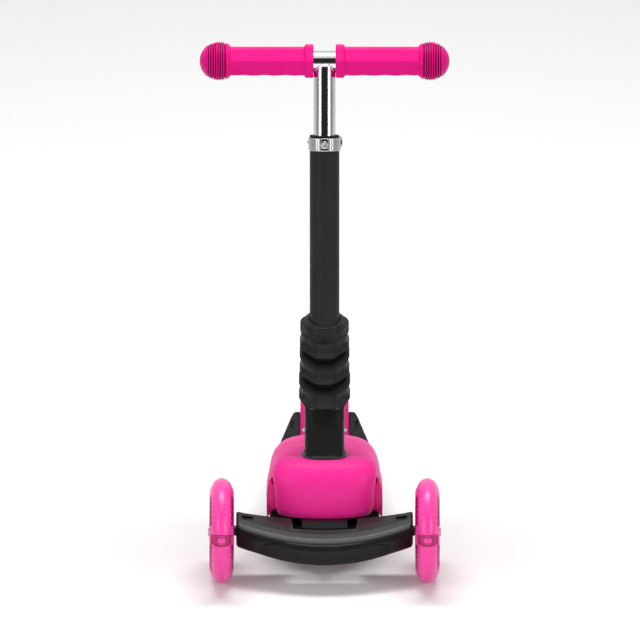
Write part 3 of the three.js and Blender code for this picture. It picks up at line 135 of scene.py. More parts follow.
def rounded(corners, radius, steps=4, closed=True, hold=0.3):
    """A line of corners with each one swung round as an arc.

    The arc's middle lies on the line that halves the corner, at radius / sin(half the corner). Its points go
    from one side to the next by even shares of the swing. A point before and after each arc holds the shading
    of the flats. Leading axes, such as stations along a part, are all worked out at once.
    """
    p = np.asarray(corners, float)
    before, after = np.roll(p, 1, -2) - p, np.roll(p, -1, -2) - p
    room = np.minimum(np.linalg.norm(before, axis=-1), np.linalg.norm(after, axis=-1)) * 0.45
    u, v = unit(before), unit(after)
    halved = np.clip(np.arccos(np.clip((u * v).sum(-1), -0.99999, 0.99999)) / 2, 0.05, math.pi / 2 - 1e-3)
    r = np.minimum(np.broadcast_to(radius, halved.shape), room * np.tan(halved))
    reach = (r / np.tan(halved))[..., None]
    middle = p + unit(u + v) * (r / np.sin(halved))[..., None]
    start, end = p + u * reach - middle, p + v * reach - middle
    swing = (math.pi - 2 * halved)[..., None, None]
    share = np.linspace(0, 1, steps + 1)[:, None]
    arc = (np.sin((1 - share) * swing) * start[..., None, :] + np.sin(share * swing) * end[..., None, :])
    arc = middle[..., None, :] + arc / np.sin(swing)
    held = np.minimum(hold, (room - reach[..., 0]) * 0.5 + 0.01)[..., None]
    pre, post = (p + u * (reach + held))[..., None, :], (p + v * (reach + held))[..., None, :]
    line = np.concatenate([pre, arc, post], -2)
    if not closed:
        line = line[..., 1:-1, :, :]
    line = line.reshape(*line.shape[:-3], -1, line.shape[-1])
    return line if closed else np.concatenate([p[..., :1, :], line, p[..., -1:, :]], -2)


def flowing(rows, at):
    """Values read off rows of [place, value, ...] by a smooth curve through them: Hermite, average slopes."""
    rows = np.asarray(rows, float)
    x, y = rows[:, 0], rows[:, 1:]
    slope = np.gradient(y, x, axis=0)
    i = np.clip(np.searchsorted(x, at, side="right") - 1, 0, len(x) - 2)
    width = (x[i + 1] - x[i])[:, None]
    t = ((np.asarray(at) - x[i])[:, None] / width)
    a, b = 2 * t**3 - 3 * t**2 + 1, t**3 - 2 * t**2 + t
    return a * y[i] + b * width * slope[i] + (1 - a) * y[i + 1] + (t**3 - t**2) * width * slope[i + 1]


def places(low, high, step, edges=(), near=0.12):
    """Even places from low to high, with a close pair at each edge so that a recess there has steep walls."""
    even = np.linspace(low, high, max(2, int(round((high - low) / step)) + 1))
    pairs = np.asarray([e + side * near for e in edges for side in (-1, 1)], float)
    kept = pairs[(pairs > low) & (pairs < high)]
    return np.unique(np.round(np.concatenate([even, kept]), 5))


def ring_turns(count):
    return np.arange(count) * 2 * math.pi / count


def squared(turn, half_x, half_y, power):
    """A rounded square: cosine and sine raised to 2 / power, with their signs kept."""
    c, s = np.cos(turn), np.sin(turn)
    return half_x * np.sign(c) * np.abs(c) ** (2 / power), half_y * np.sign(s) * np.abs(s) ** (2 / power)


# Skins: closed shells that make up one piece

class Skin:
    """Collects closed shells, each a grid of points, into one mesh with a tone at each point."""

    def __init__(self):
        self.points, self.faces, self.tones, self.count = [], [], [], 0

    def add(self, grid, faces, tone=0.0):
        flat = np.asarray(grid, float).reshape(-1, 3)
        tones = np.asarray(tone, float).ravel() if np.ndim(tone) else tone
        self.points.append(flat)
        self.tones.append(np.broadcast_to(tones, len(flat)))
        self.faces += [np.asarray(f) + self.count for f in faces]
        self.count += len(flat)
        return self

    def sheet_faces(self, rows, columns, wrap_rows=False, wrap_columns=False):
        """Four-cornered faces between neighbours of a grid, joined round where it wraps."""
        r, c = np.meshgrid(np.arange(rows if wrap_rows else rows - 1),
                           np.arange(columns if wrap_columns else columns - 1), indexing="ij")
        above, right = (r + 1) % rows * columns, (c + 1) % columns
        r = r * columns
        return np.stack([r + c, r + right, above + right, above + c], -1).reshape(-1, 4)

    def tube(self, rings, tone=0.0):
        """Rings joined one to the next, with a flat face on the first and the last."""
        rows, columns = rings.shape[:2]
        ends = [np.arange(columns)[None, ::-1], (rows - 1) * columns + np.arange(columns)[None]]
        return self.add(rings, [self.sheet_faces(rows, columns, wrap_columns=True), *ends], tone)

    def hoop(self, rings, tone=0.0):
        """Rings joined one to the next and the last to the first."""
        return self.add(rings, [self.sheet_faces(*rings.shape[:2], True, True)], tone)

    def walled(self, outer, inner, tone=0.0):
        """An outer and an inner sheet of the same grid, closed along their four edges."""
        rows, columns = outer.shape[:2]
        grid = np.arange(rows * columns).reshape(rows, columns)
        rim = np.concatenate([grid[0, :-1], grid[:-1, -1], grid[-1, :0:-1], grid[:0:-1, 0]])
        after, far = np.roll(rim, -1), rows * columns
        faces = self.sheet_faces(rows, columns)
        rim_faces = np.stack([rim, after, after + far, rim + far], -1)
        both = np.concatenate([outer.reshape(-1, 3), inner.reshape(-1, 3)])
        tones = np.tile(np.asarray(tone, float).ravel(), 2) if np.ndim(tone) else tone
        return self.add(both, [faces, faces[:, ::-1] + far, rim_faces[:, ::-1]], tones)

    def mesh(self, name):
        """Puts points, faces and tones into a mesh, drops doubled points and turns every face outwards."""
        made = bpy.data.meshes.new(name)
        points = np.concatenate(self.points)
        made.vertices.add(len(points))
        made.vertices.foreach_set("co", seat(points).astype(np.float32).ravel())
        sizes = np.concatenate([np.full(len(f), f.shape[1]) for f in self.faces])
        corners = np.concatenate([f.ravel() for f in self.faces])
        made.loops.add(len(corners))
        made.loops.foreach_set("vertex_index", corners.astype(np.int32))
        made.polygons.add(len(sizes))
        made.polygons.foreach_set("loop_start", (np.cumsum(sizes) - sizes).astype(np.int32))
        tone = made.attributes.new("tone", "FLOAT", "POINT")
        tone.data.foreach_set("value", np.concatenate(self.tones).astype(np.float32))
        made.update(calc_edges=True)
        made.validate()
        work = bmesh.new()
        work.from_mesh(made)
        bmesh.ops.remove_doubles(work, verts=work.verts, dist=2e-6)
        bmesh.ops.dissolve_degenerate(work, edges=work.edges, dist=1e-6)
        bmesh.ops.recalc_face_normals(work, faces=work.faces)
        work.to_mesh(made)
        work.free()
        return made


def turned(profile, steps, middle=(0.0, 0.0, 0.0), axis="x"):
    """A section of (radius, along) points carried round an axis through the middle: one ring a point."""
    profile = np.asarray(profile, float)
    turn = ring_turns(steps)
    r, along = profile[:, :1], np.repeat(profile[:, 1:2], steps, 1)
    a, b = r * np.cos(turn), r * np.sin(turn)
    order = {"x": [along, a, b], "y": [a, along, b], "z": [a, b, along]}[axis]
    return np.stack(order, -1) + np.asarray(middle, float)


def slab(outline, low, high, edge, axis="x", steps=3):
    """A flat outline given thickness: rings of it from low to high, with a quarter round at both ends."""
    p = np.asarray(outline, float)
    side = unit(np.roll(p, -1, 0) - p)
    before = np.roll(side, 1, 0)
    normal = unit(np.stack([side[:, 1] + before[:, 1], -side[:, 0] - before[:, 0]], -1))
    area = (p[:, 0] * np.roll(p[:, 1], -1) - np.roll(p[:, 0], -1) * p[:, 1]).sum()
    normal = normal * (1 if area > 0 else -1)
    turn = np.linspace(0, math.pi / 2, steps + 1)
    draw = edge * (1 - np.sin(turn))
    rise = edge * (1 - np.cos(turn))
    inset = np.concatenate([[edge + 0.4], draw, draw[::-1], [edge + 0.4]])
    level = np.concatenate([[low], low + rise, (high - rise)[::-1], [high]])
    flat = p[None] - normal[None] * inset[:, None, None]
    third = np.repeat(level[:, None], len(p), 1)
    order = {"x": [third, flat[..., 0], flat[..., 1]], "z": [flat[..., 0], flat[..., 1], third],
             "y": [flat[..., 0], third, flat[..., 1]]}[axis]
    return np.stack(order, -1)


def box_outline(x0, x1, y0, y1, radius=1.0, steps=4):
    return rounded([[x0, y0], [x1, y0], [x1, y1], [x0, y1]], radius, steps)


def piece(name, skin, body, finish_used, replaces=(), sharp=50):
    """A finished piece: its mesh, smooth but for sharp edges, its finish, and the body that carries it."""
    mesh = skin.mesh(name) if isinstance(skin, Skin) else skin
    made = bpy.data.objects.new(name, mesh)
    bpy.context.scene.collection.objects.link(made)
    mesh.materials.clear()
    mesh.materials.append(finish_used)
    mesh.shade_smooth()
    mesh.set_sharp_from_angle(angle=math.radians(sharp))
    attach(made, body)
    if replaces:
        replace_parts(made, *replaces)
    return made


def dressed(node, finish_used, body, edge=0.35, sharp=35):
    """A turned or cut small part as the frame has it, with its flats made whole and its edges broken."""
    mesh = NODES[node].data.copy()
    work = bmesh.new()
    work.from_mesh(mesh)
    bmesh.ops.remove_doubles(work, verts=work.verts, dist=1e-6)
    bmesh.ops.dissolve_limit(work, angle_limit=math.radians(1), verts=work.verts, edges=work.edges)
    bmesh.ops.recalc_face_normals(work, faces=work.faces)
    work.to_mesh(mesh)
    work.free()
    made = piece(node + "_fine", mesh, body, finish_used, (node,), sharp)
    bevel = made.modifiers.new("broken_edges", "BEVEL")
    bevel.width, bevel.segments, bevel.limit_method = edge / MM, 2, "ANGLE"
    bevel.angle_limit, bevel.harden_normals = math.radians(sharp), True
    return made


# Finishes

def feed(links, socket, value):
    """Links a socket to a node's output, or sets it to a plain value."""
    if isinstance(value, bpy.types.NodeSocket):
        links.new(value, socket)
    else:
        socket.default_value = value


class Tree:
    """Short calls for the nodes that the finishes share."""

    def __init__(self, name):
        self.material = bpy.data.materials.new(name)
        self.material.use_nodes = True
        self.nodes, self.links = self.material.node_tree.nodes, self.material.node_tree.links
        self.shader = self.nodes["Principled BSDF"]
        self.place = self.nodes.new("ShaderNodeTexCoord").outputs["Object"]

    def node(self, kind, **sockets):
        made = self.nodes.new(kind)
        for key, value in sockets.items():
            feed(self.links, made.inputs[key.replace("_", " ")], value)
        return made

    def stretched(self, scale, turn=(0.0, 0.0, 0.0)):
        made = self.node("ShaderNodeMapping", Vector=self.place)
        made.inputs["Scale"].default_value = scale
        made.inputs["Rotation"].default_value = turn
        return made.outputs["Vector"]

    def noise(self, size, detail=3.0, place=None):
        """Noise whose features are about this many millimetres wide."""
        made = self.node("ShaderNodeTexNoise", Vector=place or self.place, Scale=MM / size, Detail=detail)
        return made.outputs["Fac"]

    def ranged(self, value, low, high, from_low=0.3, from_high=0.7):
        made = self.node("ShaderNodeMapRange", Value=value, From_Min=from_low, From_Max=from_high, To_Min=low,
                         To_Max=high)
        return made.outputs["Result"]

    def mixed(self, factor, first, second):
        made = self.nodes.new("ShaderNodeMix")
        made.data_type = "RGBA"
        colours = [s for s in made.inputs if s.type == "RGBA"]
        for socket, value in ((made.inputs["Factor"], factor), (colours[0], first), (colours[1], second)):
            feed(self.links, socket, value)
        return next(s for s in made.outputs if s.type == "RGBA")

    def bumped(self, height, depth, strength=1.0, under=None):
        """A bump as deep as this many millimetres."""
        made = self.node("ShaderNodeBump", Height=height, Strength=strength, Distance=depth / MM)
        if under is not None:
            self.links.new(under, made.inputs["Normal"])
        return made.outputs["Normal"]

    def tone(self):
        made = self.nodes.new("ShaderNodeAttribute")
        made.attribute_name = "tone"
        return made.outputs["Fac"]

    def finish(self, colour, roughness, normal, **values):
        for key, source in (("Base Color", colour), ("Roughness", roughness), ("Normal", normal)):
            self.links.new(source, self.shader.inputs[key])
        for key, number in values.items():
            self.shader.inputs[key.replace("_", " ")].default_value = number
        return self.material


def shade(colour, factor):
    return tuple(min(1.0, c * factor) for c in colour) + (1.0,)


def moulded(name, colour, roughness, toned=None, vary=0.06, grain=0.02, grain_size=0.5, **values):
    """Moulded plastic or rubber: slow drifts of colour and gloss, and a fine grain left by the mould. Given a
    toned colour, the tone attribute mixes the colour towards it and dulls the gloss: painted shade in
    grooves, recesses and gaps on most pieces, and a lighter lamp on the lens.
    """
    tree = Tree(name)
    drift = tree.noise(38)
    skin_colour = tree.mixed(tree.ranged(drift, 0, 1), shade(colour, 1 - vary), shade(colour, 1 + vary))
    # Painted shade on most pieces: the tone darkens grooves, recesses and gaps towards the toned colour and
    # dulls their gloss.
    if toned:
        skin_colour = tree.mixed(tree.tone(), skin_colour, toned + (1.0,))
        sheen = values.pop("Specular_IOR_Level", 0.5)
        dulled = tree.ranged(tree.tone(), sheen, 0.2 * sheen, 0, 1)
        tree.links.new(dulled, tree.shader.inputs["Specular IOR Level"])
    fine = tree.noise(grain_size, 2.0)
    rough = tree.ranged(tree.noise(9), roughness * 0.88, roughness * 1.12)
    return tree.finish(skin_colour, rough, tree.bumped(fine, grain), **values)


def plated(name, colour, low, high, ripple=0.004, **values):
    """Bright plating: a mirror with faint smears in its gloss and a slow ripple in its surface."""
    tree = Tree(name)
    smear = tree.noise(16, 4.0)
    tint = tree.mixed(tree.ranged(smear, 0, 1), shade(colour, 0.96), shade(colour, 1.03))
    rippled = tree.bumped(tree.noise(7), ripple)
    return tree.finish(tint, tree.ranged(smear, low, high), rippled, Metallic=1.0, **values)


def brushed(name, colour, roughness, scale, turn=(0.0, 0.0, 0.0)):
    """Brushed metal: noise drawn out into fine streaks sets the colour, the gloss and the bump."""
    tree = Tree(name)
    streaks = tree.noise(1.0, 3.0, tree.stretched(scale, turn))
    tint = tree.mixed(tree.ranged(streaks, 0, 1), shade(colour, 0.82), shade(colour, 1.12))
    rough = tree.ranged(streaks, roughness * 0.75, roughness * 1.25)
    return tree.finish(tint, rough, tree.bumped(streaks, 0.03), Metallic=1.0)


def pebbled(name, colour, roughness, size, depth, **values):
    """Rubber with a close pebble pattern, lighter on the tops of the pebbles and darker between them."""
    tree = Tree(name)
    cells = tree.node("ShaderNodeTexVoronoi", Vector=tree.place, Scale=MM / size).outputs["Distance"]
    tops = tree.ranged(cells, 1, 0, 0.0, 0.6)
    tint = tree.mixed(tops, shade(colour, 0.75), shade(colour, 1.2))
    fine = tree.bumped(tree.noise(0.4, 2.0), 0.02)
    return tree.finish(tint, tree.ranged(tree.noise(12), roughness * 0.9, roughness * 1.1),
                       tree.bumped(tops, depth, under=fine), **values)


def steel_with_painted_shade():
    """The collar's brushed steel, with painted shade that darkens its grooves and window."""
    tree = Tree("collar_brushed_painted_shade")
    streaks = tree.noise(1.0, 3.0, tree.stretched((2.6, 2.6, 0.3), (-STEM_RAKE, 0, 0)))
    tint = tree.mixed(tree.ranged(streaks, 0, 1), (0.36, 0.36, 0.37, 1), (0.58, 0.58, 0.59, 1))
    # Painted shade: the tone paints the grooves and the button window near black.
    tint = tree.mixed(tree.tone(), tint, (0.02, 0.02, 0.022, 1))
    return tree.finish(tint, tree.ranged(streaks, 0.24, 0.4), tree.bumped(streaks, 0.03), Metallic=1.0)


PINK = (0.86, 0.022, 0.29)
BLACK = (0.0065, 0.0065, 0.007)
GREY_BLACK = (0.02, 0.02, 0.021)
# Near black that the tone paints as shade into grooves, slots and gaps.
PAINTED_SHADE_BLACK = (0.001, 0.001, 0.001)

hood_pink = moulded("hood_pink_gloss", PINK, 0.46, vary=0.03, grain=0.006, grain_size=0.8,
                    Specular_IOR_Level=0.18)
# A darker copy of the hood's pink: painted shade from the stem and bellows above the strip.
spine_pink_painted_shade = moulded("spine_satin_painted_shade", (0.56, 0.012, 0.17), 0.55, vary=0.04, grain=0.015,
                     Specular_IOR_Level=0.06)
# Its tone paints the grip's grooves near black as painted shade.
grip_pink = moulded("grip_pink_rubber", (0.77, 0.001, 0.215), 0.46, toned=(0.02, 0.0, 0.008), vary=0.04,
                    grain=0.03, grain_size=0.7, Specular_IOR_Level=0.17)
# Its tone paints the toothed patches on the tread's shoulders darker as painted shade.
wheel_pink = moulded("wheel_pink_cast", (0.92, 0.045, 0.36), 0.36, toned=(0.36, 0.0, 0.1), vary=0.015,
                     grain=0.01, Coat_Weight=0.15, Coat_Roughness=0.2, Subsurface_Weight=0.15,
                     Subsurface_Scale=0.003)
hub_pink = moulded("hub_pink_moulded", (0.66, 0.014, 0.2), 0.36, vary=0.05, grain=0.02)
lens_pink = moulded("lens_pink_clear", (0.46, 0.004, 0.13), 0.4, toned=(0.9, 0.07, 0.38), vary=0.05,
                    Coat_Weight=0.1, Coat_Roughness=0.2)
# Its tone paints the chin's edge under the ledge near black as painted shadow in the gap.
beam_black = moulded("beam_black_satin", BLACK, 0.42, toned=PAINTED_SHADE_BLACK, vary=0.12, grain=0.02,
                     grain_size=0.6, Specular_IOR_Level=0.2)
# Its tone paints the slot plates near black as painted shade for the slots' recesses.
beam_body_black = moulded("beam_body_black_satin", BLACK, 0.36, toned=PAINTED_SHADE_BLACK, vary=0.12, grain=0.015,
                          grain_size=0.6, Specular_IOR_Level=0.3)
shell_black = moulded("shell_black_moulded", BLACK, 0.5, vary=0.12, grain=0.04, grain_size=0.7,
                      Specular_IOR_Level=0.15)
box_black = moulded("box_black_moulded", BLACK, 0.46, vary=0.1, grain=0.02, grain_size=0.6,
                    Specular_IOR_Level=0.12)
# Its tone paints the folds' waists and the inside of the mouth near black as painted shade.
boot_black = moulded("boot_black_rubber", (0.006, 0.006, 0.0065), 0.42, toned=PAINTED_SHADE_BLACK, vary=0.15,
                     grain=0.03, grain_size=0.5, Specular_IOR_Level=0.24)
# Black rubber, with a faint blue in its colour that is a painted sheen.
gasket_black_painted_sheen = moulded("gasket_rubber_painted_sheen", (0.009, 0.0095, 0.014), 0.5, vary=0.1, grain=0.02)
tube_black = moulded("tube_black_powder_coat", GREY_BLACK, 0.5, vary=0.1, grain=0.02, grain_size=0.45,
                     Specular_IOR_Level=0.12)
pad_black = pebbled("pad_black_pebbled", GREY_BLACK, 0.75, 1.1, 0.25, Specular_IOR_Level=0.1)
chrome = plated("bar_chrome", (0.84, 0.85, 0.86), 0.045, 0.085, Specular_Tint=(0.45, 0.45, 0.47, 1))
lever_chrome = plated("lever_chrome", (0.74, 0.75, 0.77), 0.1, 0.18)
bolt_steel = brushed("bolt_zinc_steel", (0.5, 0.51, 0.53), 0.34, (1.2, 1.2, 1.2))
bearing_steel = brushed("bearing_steel", (0.58, 0.59, 0.61), 0.22, (0.4, 2.2, 2.2))
collar_steel = steel_with_painted_shade()


# Wheels

# Half of the front tread's section: shares of its depth and of its half width
TREAD = [
    [0, 0.8], [0.06, 0.93], [0.13, 0.985], [0.2, 0.99], [0.37, 0.94], [0.485, 0.86], [0.6, 0.785],
    [0.715, 0.69], [0.83, 0.565], [0.9, 0.42], [0.955, 0.29], [0.99, 0.13], [1, 0],
]
LIGHT_TURN, LIGHT_HALF, LIGHT_DEPTH, LENS_RECESS = math.radians(13.2), 6.7, 10.0, 1.8
LENS_HALF_W, LENS_EDGE = 12.2, 0.5
LAMP_HALF_W, LAMP_HALF_H, LAMP_CORNER, LAMP_EDGE, LAMP_ROOT, LAMP_BELOW = 4.6, 2.9, 1.6, 0.7, 0.4, 0.5
# Dark patches between the spokes, sunk a little and painted darker as painted shade: share of a sector kept
# at each side, and the teeth along their rim
WINDOW_SIDE_SHARE, WINDOW_FADE_SHARE, WINDOW_R, WINDOW_SINK = 0.17, 0.02, 43.5, 0.35
TOOTH_PITCH, TOOTH_ACROSS, TOOTH_RISE = math.radians(7.5), 10.5, 0.9
SPOKES, FIRST_SPOKE = 5, math.radians(18)
SPOKE_HALF_W, SPOKE_HALF_T, SPOKE_CORNER, SPOKE_FLARE, SPOKE_FLARE_MOST = 5.5, 4.5, 1.3, 3.2, 4.0
RIM_WALL, BOSS_R = 4.5, 15.0
BEARING_R, BEARING_W, BORE_R, SHIELD_R, INNER_RACE_R, SHIELD_SINK = 11.0, 7.0, 4.3, 9.0, 6.3, 0.5
FRONT_FACE, REAR_FACE = 11.0, 11.4
REAR_RIM_WALL, REAR_BOSS_R, REAR_WEB, REAR_EDGE, REAR_LIP = 4.0, 14.5, 3.5, 9.6, 8.4
SPACER_BORE_R, BEARING_SEAT = 6.1, 4.5
DOTS, DOT_CIRCLE_R, DOT_R, DOT_RISE = 10, 18.2, 2.0, 0.5


def ring_section(inner_r, outer_r, inner_half, outer_half, edge, steps=3):
    """A ring's section: half widths at its inner and at its outer radius, with rounded edges."""
    corners = [[inner_r, -inner_half], [outer_r, -outer_half], [outer_r, outer_half], [inner_r, inner_half]]
    return rounded(corners, edge, steps)


def tread_line(radius, width, inner, count=46):
    """The tread's section as (radius, across), from bead to bead over the crown and back inside."""
    rows = np.asarray(TREAD)
    steps = np.hypot(np.diff(rows[:, 0]) * (radius - inner), np.diff(rows[:, 1]) * width / 2)
    run = np.concatenate([[0], np.cumsum(steps)])
    near = np.column_stack([run, rows])
    far = np.column_stack([2 * run[-1] - run[-2::-1], rows[-2::-1] * [1, -1]])
    both = np.concatenate([near, far])
    line = flowing(both, np.linspace(0, both[-1, 0], count))
    line = np.column_stack([inner + line[:, 0] * (radius - inner), line[:, 1] * width / 2])
    back = np.column_stack([np.full(5, inner), np.linspace(line[-1, 1], line[0, 1], 7)[1:-1]])
    return np.concatenate([line, back])


def front_tyre(side, name):
    """The tread carried round the axle, sunk where the light sits, and between the spokes sunk a little in
    toothed patches that are painted darker as painted shade.

    The turn is measured up from straight ahead. Inside the pocket the radius stops at its floor, LIGHT_DEPTH
    below the crown. The windows lie between the spokes, and a triangle wave of the turn makes their teeth.
    """
    floor_r = FRONT_R - LIGHT_DEPTH
    light_reach = LIGHT_HALF / FRONT_R
    edge = [LIGHT_TURN - light_reach, LIGHT_TURN + light_reach]
    turn = places(LIGHT_TURN - math.pi, LIGHT_TURN + math.pi, math.radians(1.5), edge, 0.0022)[:-1]
    line = tread_line(FRONT_R, FRONT_W, FRONT_INNER_R)
    r = np.repeat(line[:, :1], len(turn), 1)
    across = np.repeat(line[:, 1:2], len(turn), 1)
    in_pocket = (np.abs(turn - LIGHT_TURN) < light_reach)[None] & (r > floor_r)
    sector = 2 * math.pi / SPOKES
    off = (turn - FIRST_SPOKE) % sector / sector
    window = np.clip((0.5 - np.abs(off - 0.5) - WINDOW_SIDE_SHARE) / WINDOW_FADE_SHARE, 0, 1)[None]
    tooth = np.abs(turn / TOOTH_PITCH % 1 - 0.5)[None] * 2
    toothed = np.clip((np.abs(across) - TOOTH_ACROSS - TOOTH_RISE * tooth) / WINDOW_SINK, 0, 1)
    # Painted shade: the patches are sunk by WINDOW_SINK and toned darker.
    dark = window * toothed * np.clip(r - WINDOW_R, 0, 1) * np.where(in_pocket, 0, 1)
    r = np.where(in_pocket, floor_r, r) - WINDOW_SINK * dark
    grid = np.stack([side * WHEEL_X + across, -r * np.cos(turn), FRONT_R + r * np.sin(turn)], -1)
    piece(f"tread_{name}", Skin().hoop(grid, dark), f"front_wheel_{name}", wheel_pink,
          (f"front_tyre_{name}",), 40)


def wheel_light(side, name):
    """The lens: a block across the tread, sunk below the tread's own section, with a lamp in its middle."""
    line = tread_line(FRONT_R, FRONT_W, FRONT_INNER_R)
    crown_line = line[(line[:, 0] > FRONT_INNER_R + 6) & (line[:, 1] >= 0)]
    order = np.argsort(crown_line[:, 1])
    x = places(-LENS_HALF_W, LENS_HALF_W, 0.4)
    top = np.interp(np.abs(x), crown_line[order, 1], crown_line[order, 0]) - LENS_RECESS
    low = np.full_like(x, FRONT_R - LIGHT_DEPTH + GAP)
    reach = np.full_like(x, LIGHT_HALF - GAP)
    corners = [np.stack(corner, -1) for corner in ((-reach, low), (reach, low), (reach, top), (-reach, top))]
    ring = rounded(np.stack(corners, 1), LENS_EDGE, 3)
    grid = np.stack([np.repeat(x[:, None], ring.shape[1], 1), ring[..., 0], ring[..., 1]], -1)
    lamp_face = box_outline(-LAMP_HALF_W, LAMP_HALF_W, -LAMP_HALF_H, LAMP_HALF_H, LAMP_CORNER)
    lamp = slab(lamp_face, FRONT_R - LENS_RECESS - LAMP_ROOT, FRONT_R - LAMP_BELOW, LAMP_EDGE, "z")
    c, s = math.cos(LIGHT_TURN), math.sin(LIGHT_TURN)
    skin = Skin()
    for part, tone in ((grid, 0.0), (lamp, 1.0)):
        across, up, ahead = part[..., 0], part[..., 1], part[..., 2]
        y, z = up * s - ahead * c, FRONT_R + ahead * s + up * c
        skin.tube(np.stack([side * WHEEL_X + across, y, z], -1), tone)
    piece(f"lens_{name}", skin, f"front_wheel_{name}", lens_pink, (f"wheel_light_{name}",), 45)


def spoked_hub(side, name):
    """A rim ring and a boss turned about the axle, and spokes that flare where they meet them."""
    middle = (side * WHEEL_X, 0.0, FRONT_R)
    outer = FRONT_INNER_R - GAP
    rim = outer - RIM_WALL
    skin = Skin()
    skin.hoop(turned(ring_section(rim, outer, 9.8, 11.2, 0.8), 128, middle))
    skin.hoop(turned(ring_section(BEARING_R + 0.4, BOSS_R, FRONT_FACE - 0.1, FRONT_FACE, 0.7), 96, middle))
    skin.hoop(turned(ring_section(6.2, BEARING_R + 0.6, 4, 4, GAP, 2), 64, middle))
    along = np.linspace(12.5, rim + 1.5, 30)
    flare = SPOKE_FLARE * (np.exp(-(along - 14) / 2.4) + np.exp((along - rim) / 2.2))
    flare = np.clip(flare, 0, SPOKE_FLARE_MOST)
    half_w, half_t = SPOKE_HALF_W + flare, SPOKE_HALF_T + 0.35 * flare
    corners = [np.stack([sx * half_t, sy * half_w], -1) for sx, sy in ((-1, -1), (1, -1), (1, 1), (-1, 1))]
    ring = rounded(np.stack(corners, 1), SPOKE_CORNER, 4)
    r = along[:, None]
    for k in range(SPOKES):
        turn = FIRST_SPOKE + 2 * math.pi * k / SPOKES
        c, s = math.cos(turn), math.sin(turn)
        skin.tube(np.stack([ring[..., 0], ring[..., 1] * s - r * c, r * s + ring[..., 1] * c], -1) + middle)
    piece(f"hub_{name}", skin, f"front_wheel_{name}", hub_pink, (f"front_hub_{name}",))


def ball_bearing(node, body, middle, side, face):
    """An outer race, a sunk shield and an inner race: a turned section with two steps in its outer face."""
    inner, sunk = face - BEARING_W + GAP, face - SHIELD_SINK
    line = rounded([[BORE_R, inner], [BEARING_R, inner], [BEARING_R, face], [SHIELD_R + GAP, face],
                    [SHIELD_R, sunk], [INNER_RACE_R + GAP, sunk], [INNER_RACE_R, face], [BORE_R, face]],
                   0.25, 2)
    line[:, 1] *= side
    piece(node + "_fine", Skin().hoop(turned(line, 72, middle)), body, bearing_steel, (node,))


def rear_wheel():
    """The rear tread, and a hub whose web is thinner than its rim and boss, with a ring of raised dots."""
    middle = (0.0, REAR_AXLE_Y, REAR_R)
    tread = turned(tread_line(REAR_R, REAR_W, REAR_INNER_R), 160, middle)
    piece("tread_rear", Skin().hoop(tread), "rear_wheel", wheel_pink, ("rear_tyre",))
    outer = REAR_INNER_R - GAP
    rim = outer - REAR_RIM_WALL
    half = [[outer, -REAR_EDGE], [outer, REAR_EDGE], [rim, REAR_LIP], [rim, REAR_WEB],
            [REAR_BOSS_R, REAR_WEB], [REAR_BOSS_R, REAR_FACE], [BEARING_R + 0.35, REAR_FACE],
            [BEARING_R + GAP, BEARING_SEAT], [SPACER_BORE_R, BEARING_SEAT]]
    line = half + [[r, -x] for r, x in half[:1:-1]]
    skin = Skin().hoop(turned(rounded(line, 0.7, 3), 128, middle))
    top, root = REAR_WEB + DOT_RISE, REAR_WEB - 1
    dot = turned(rounded([[0.3, root], [DOT_R, root], [DOT_R, top], [0.3, top]], 0.3, 2), 20)
    for t in ring_turns(DOTS):
        spot = [0, REAR_AXLE_Y + DOT_CIRCLE_R * math.cos(t), REAR_R + DOT_CIRCLE_R * math.sin(t)]
        for side in (-1, 1):
            skin.tube(dot * [side, 1, 1] + spot)
    piece("hub_rear", skin, "rear_wheel", hub_pink, ("rear_hub",))


# Grips and bars

GRIP_START, FLANGE_END, BALL_JOIN, BORE_END = 12.7, 22.6, 107.4, 103.4
GRIP_FLAT, FLANGE_RISE, FLAT_POWER = 15.95, 2.75, 28
BALL_X, BALL_R, TIP_R, TIP_START_R = 120.6, 22.2, 22.15, 15.5
SWELLS_START, SWELLS_END, SWELL_PITCH, SWELL_RISE, SWELL_EASE = 28.0, 100.0, 24.5, 0.45, 4.0
GROOVE_START, GROOVE_PITCH, GROOVE_HALF = 113.6, 2.72, 0.62
GROOVE_DEPTHS = [1.9, 1.1, 1.4, 1.1, 1.3, 2.0, 1.2, 1.0]
HANDLE_HALF_L, TUBE_WALL, TUBE_EDGE = 103.0, 1.5, 0.4
BAR_LOW, BAR_SADDLE = 145.0, 4.0
HOLES, HOLE_PITCH, HOLE_R, HOLE_SINK = 5, 40.0, 4.0, 1.35
BAR_SLOT_HALF, BAR_SLOT_LOW, BAR_SLOT_HIGH = 2.9, 192.5, 362.5
BEAD_R, BEAD_WAVE, BEAD_WAVES = 1.15, 0.18, 26


def groove_bells(x):
    """A bell for each groove, exp(-(distance / half width) ** 4): 1 in its middle and 0 beside it."""
    middles = [GROOVE_START + i * GROOVE_PITCH for i in range(len(GROOVE_DEPTHS))]
    return [np.exp(-(((x - middle) / GROOVE_HALF) ** 4)) for middle in middles]


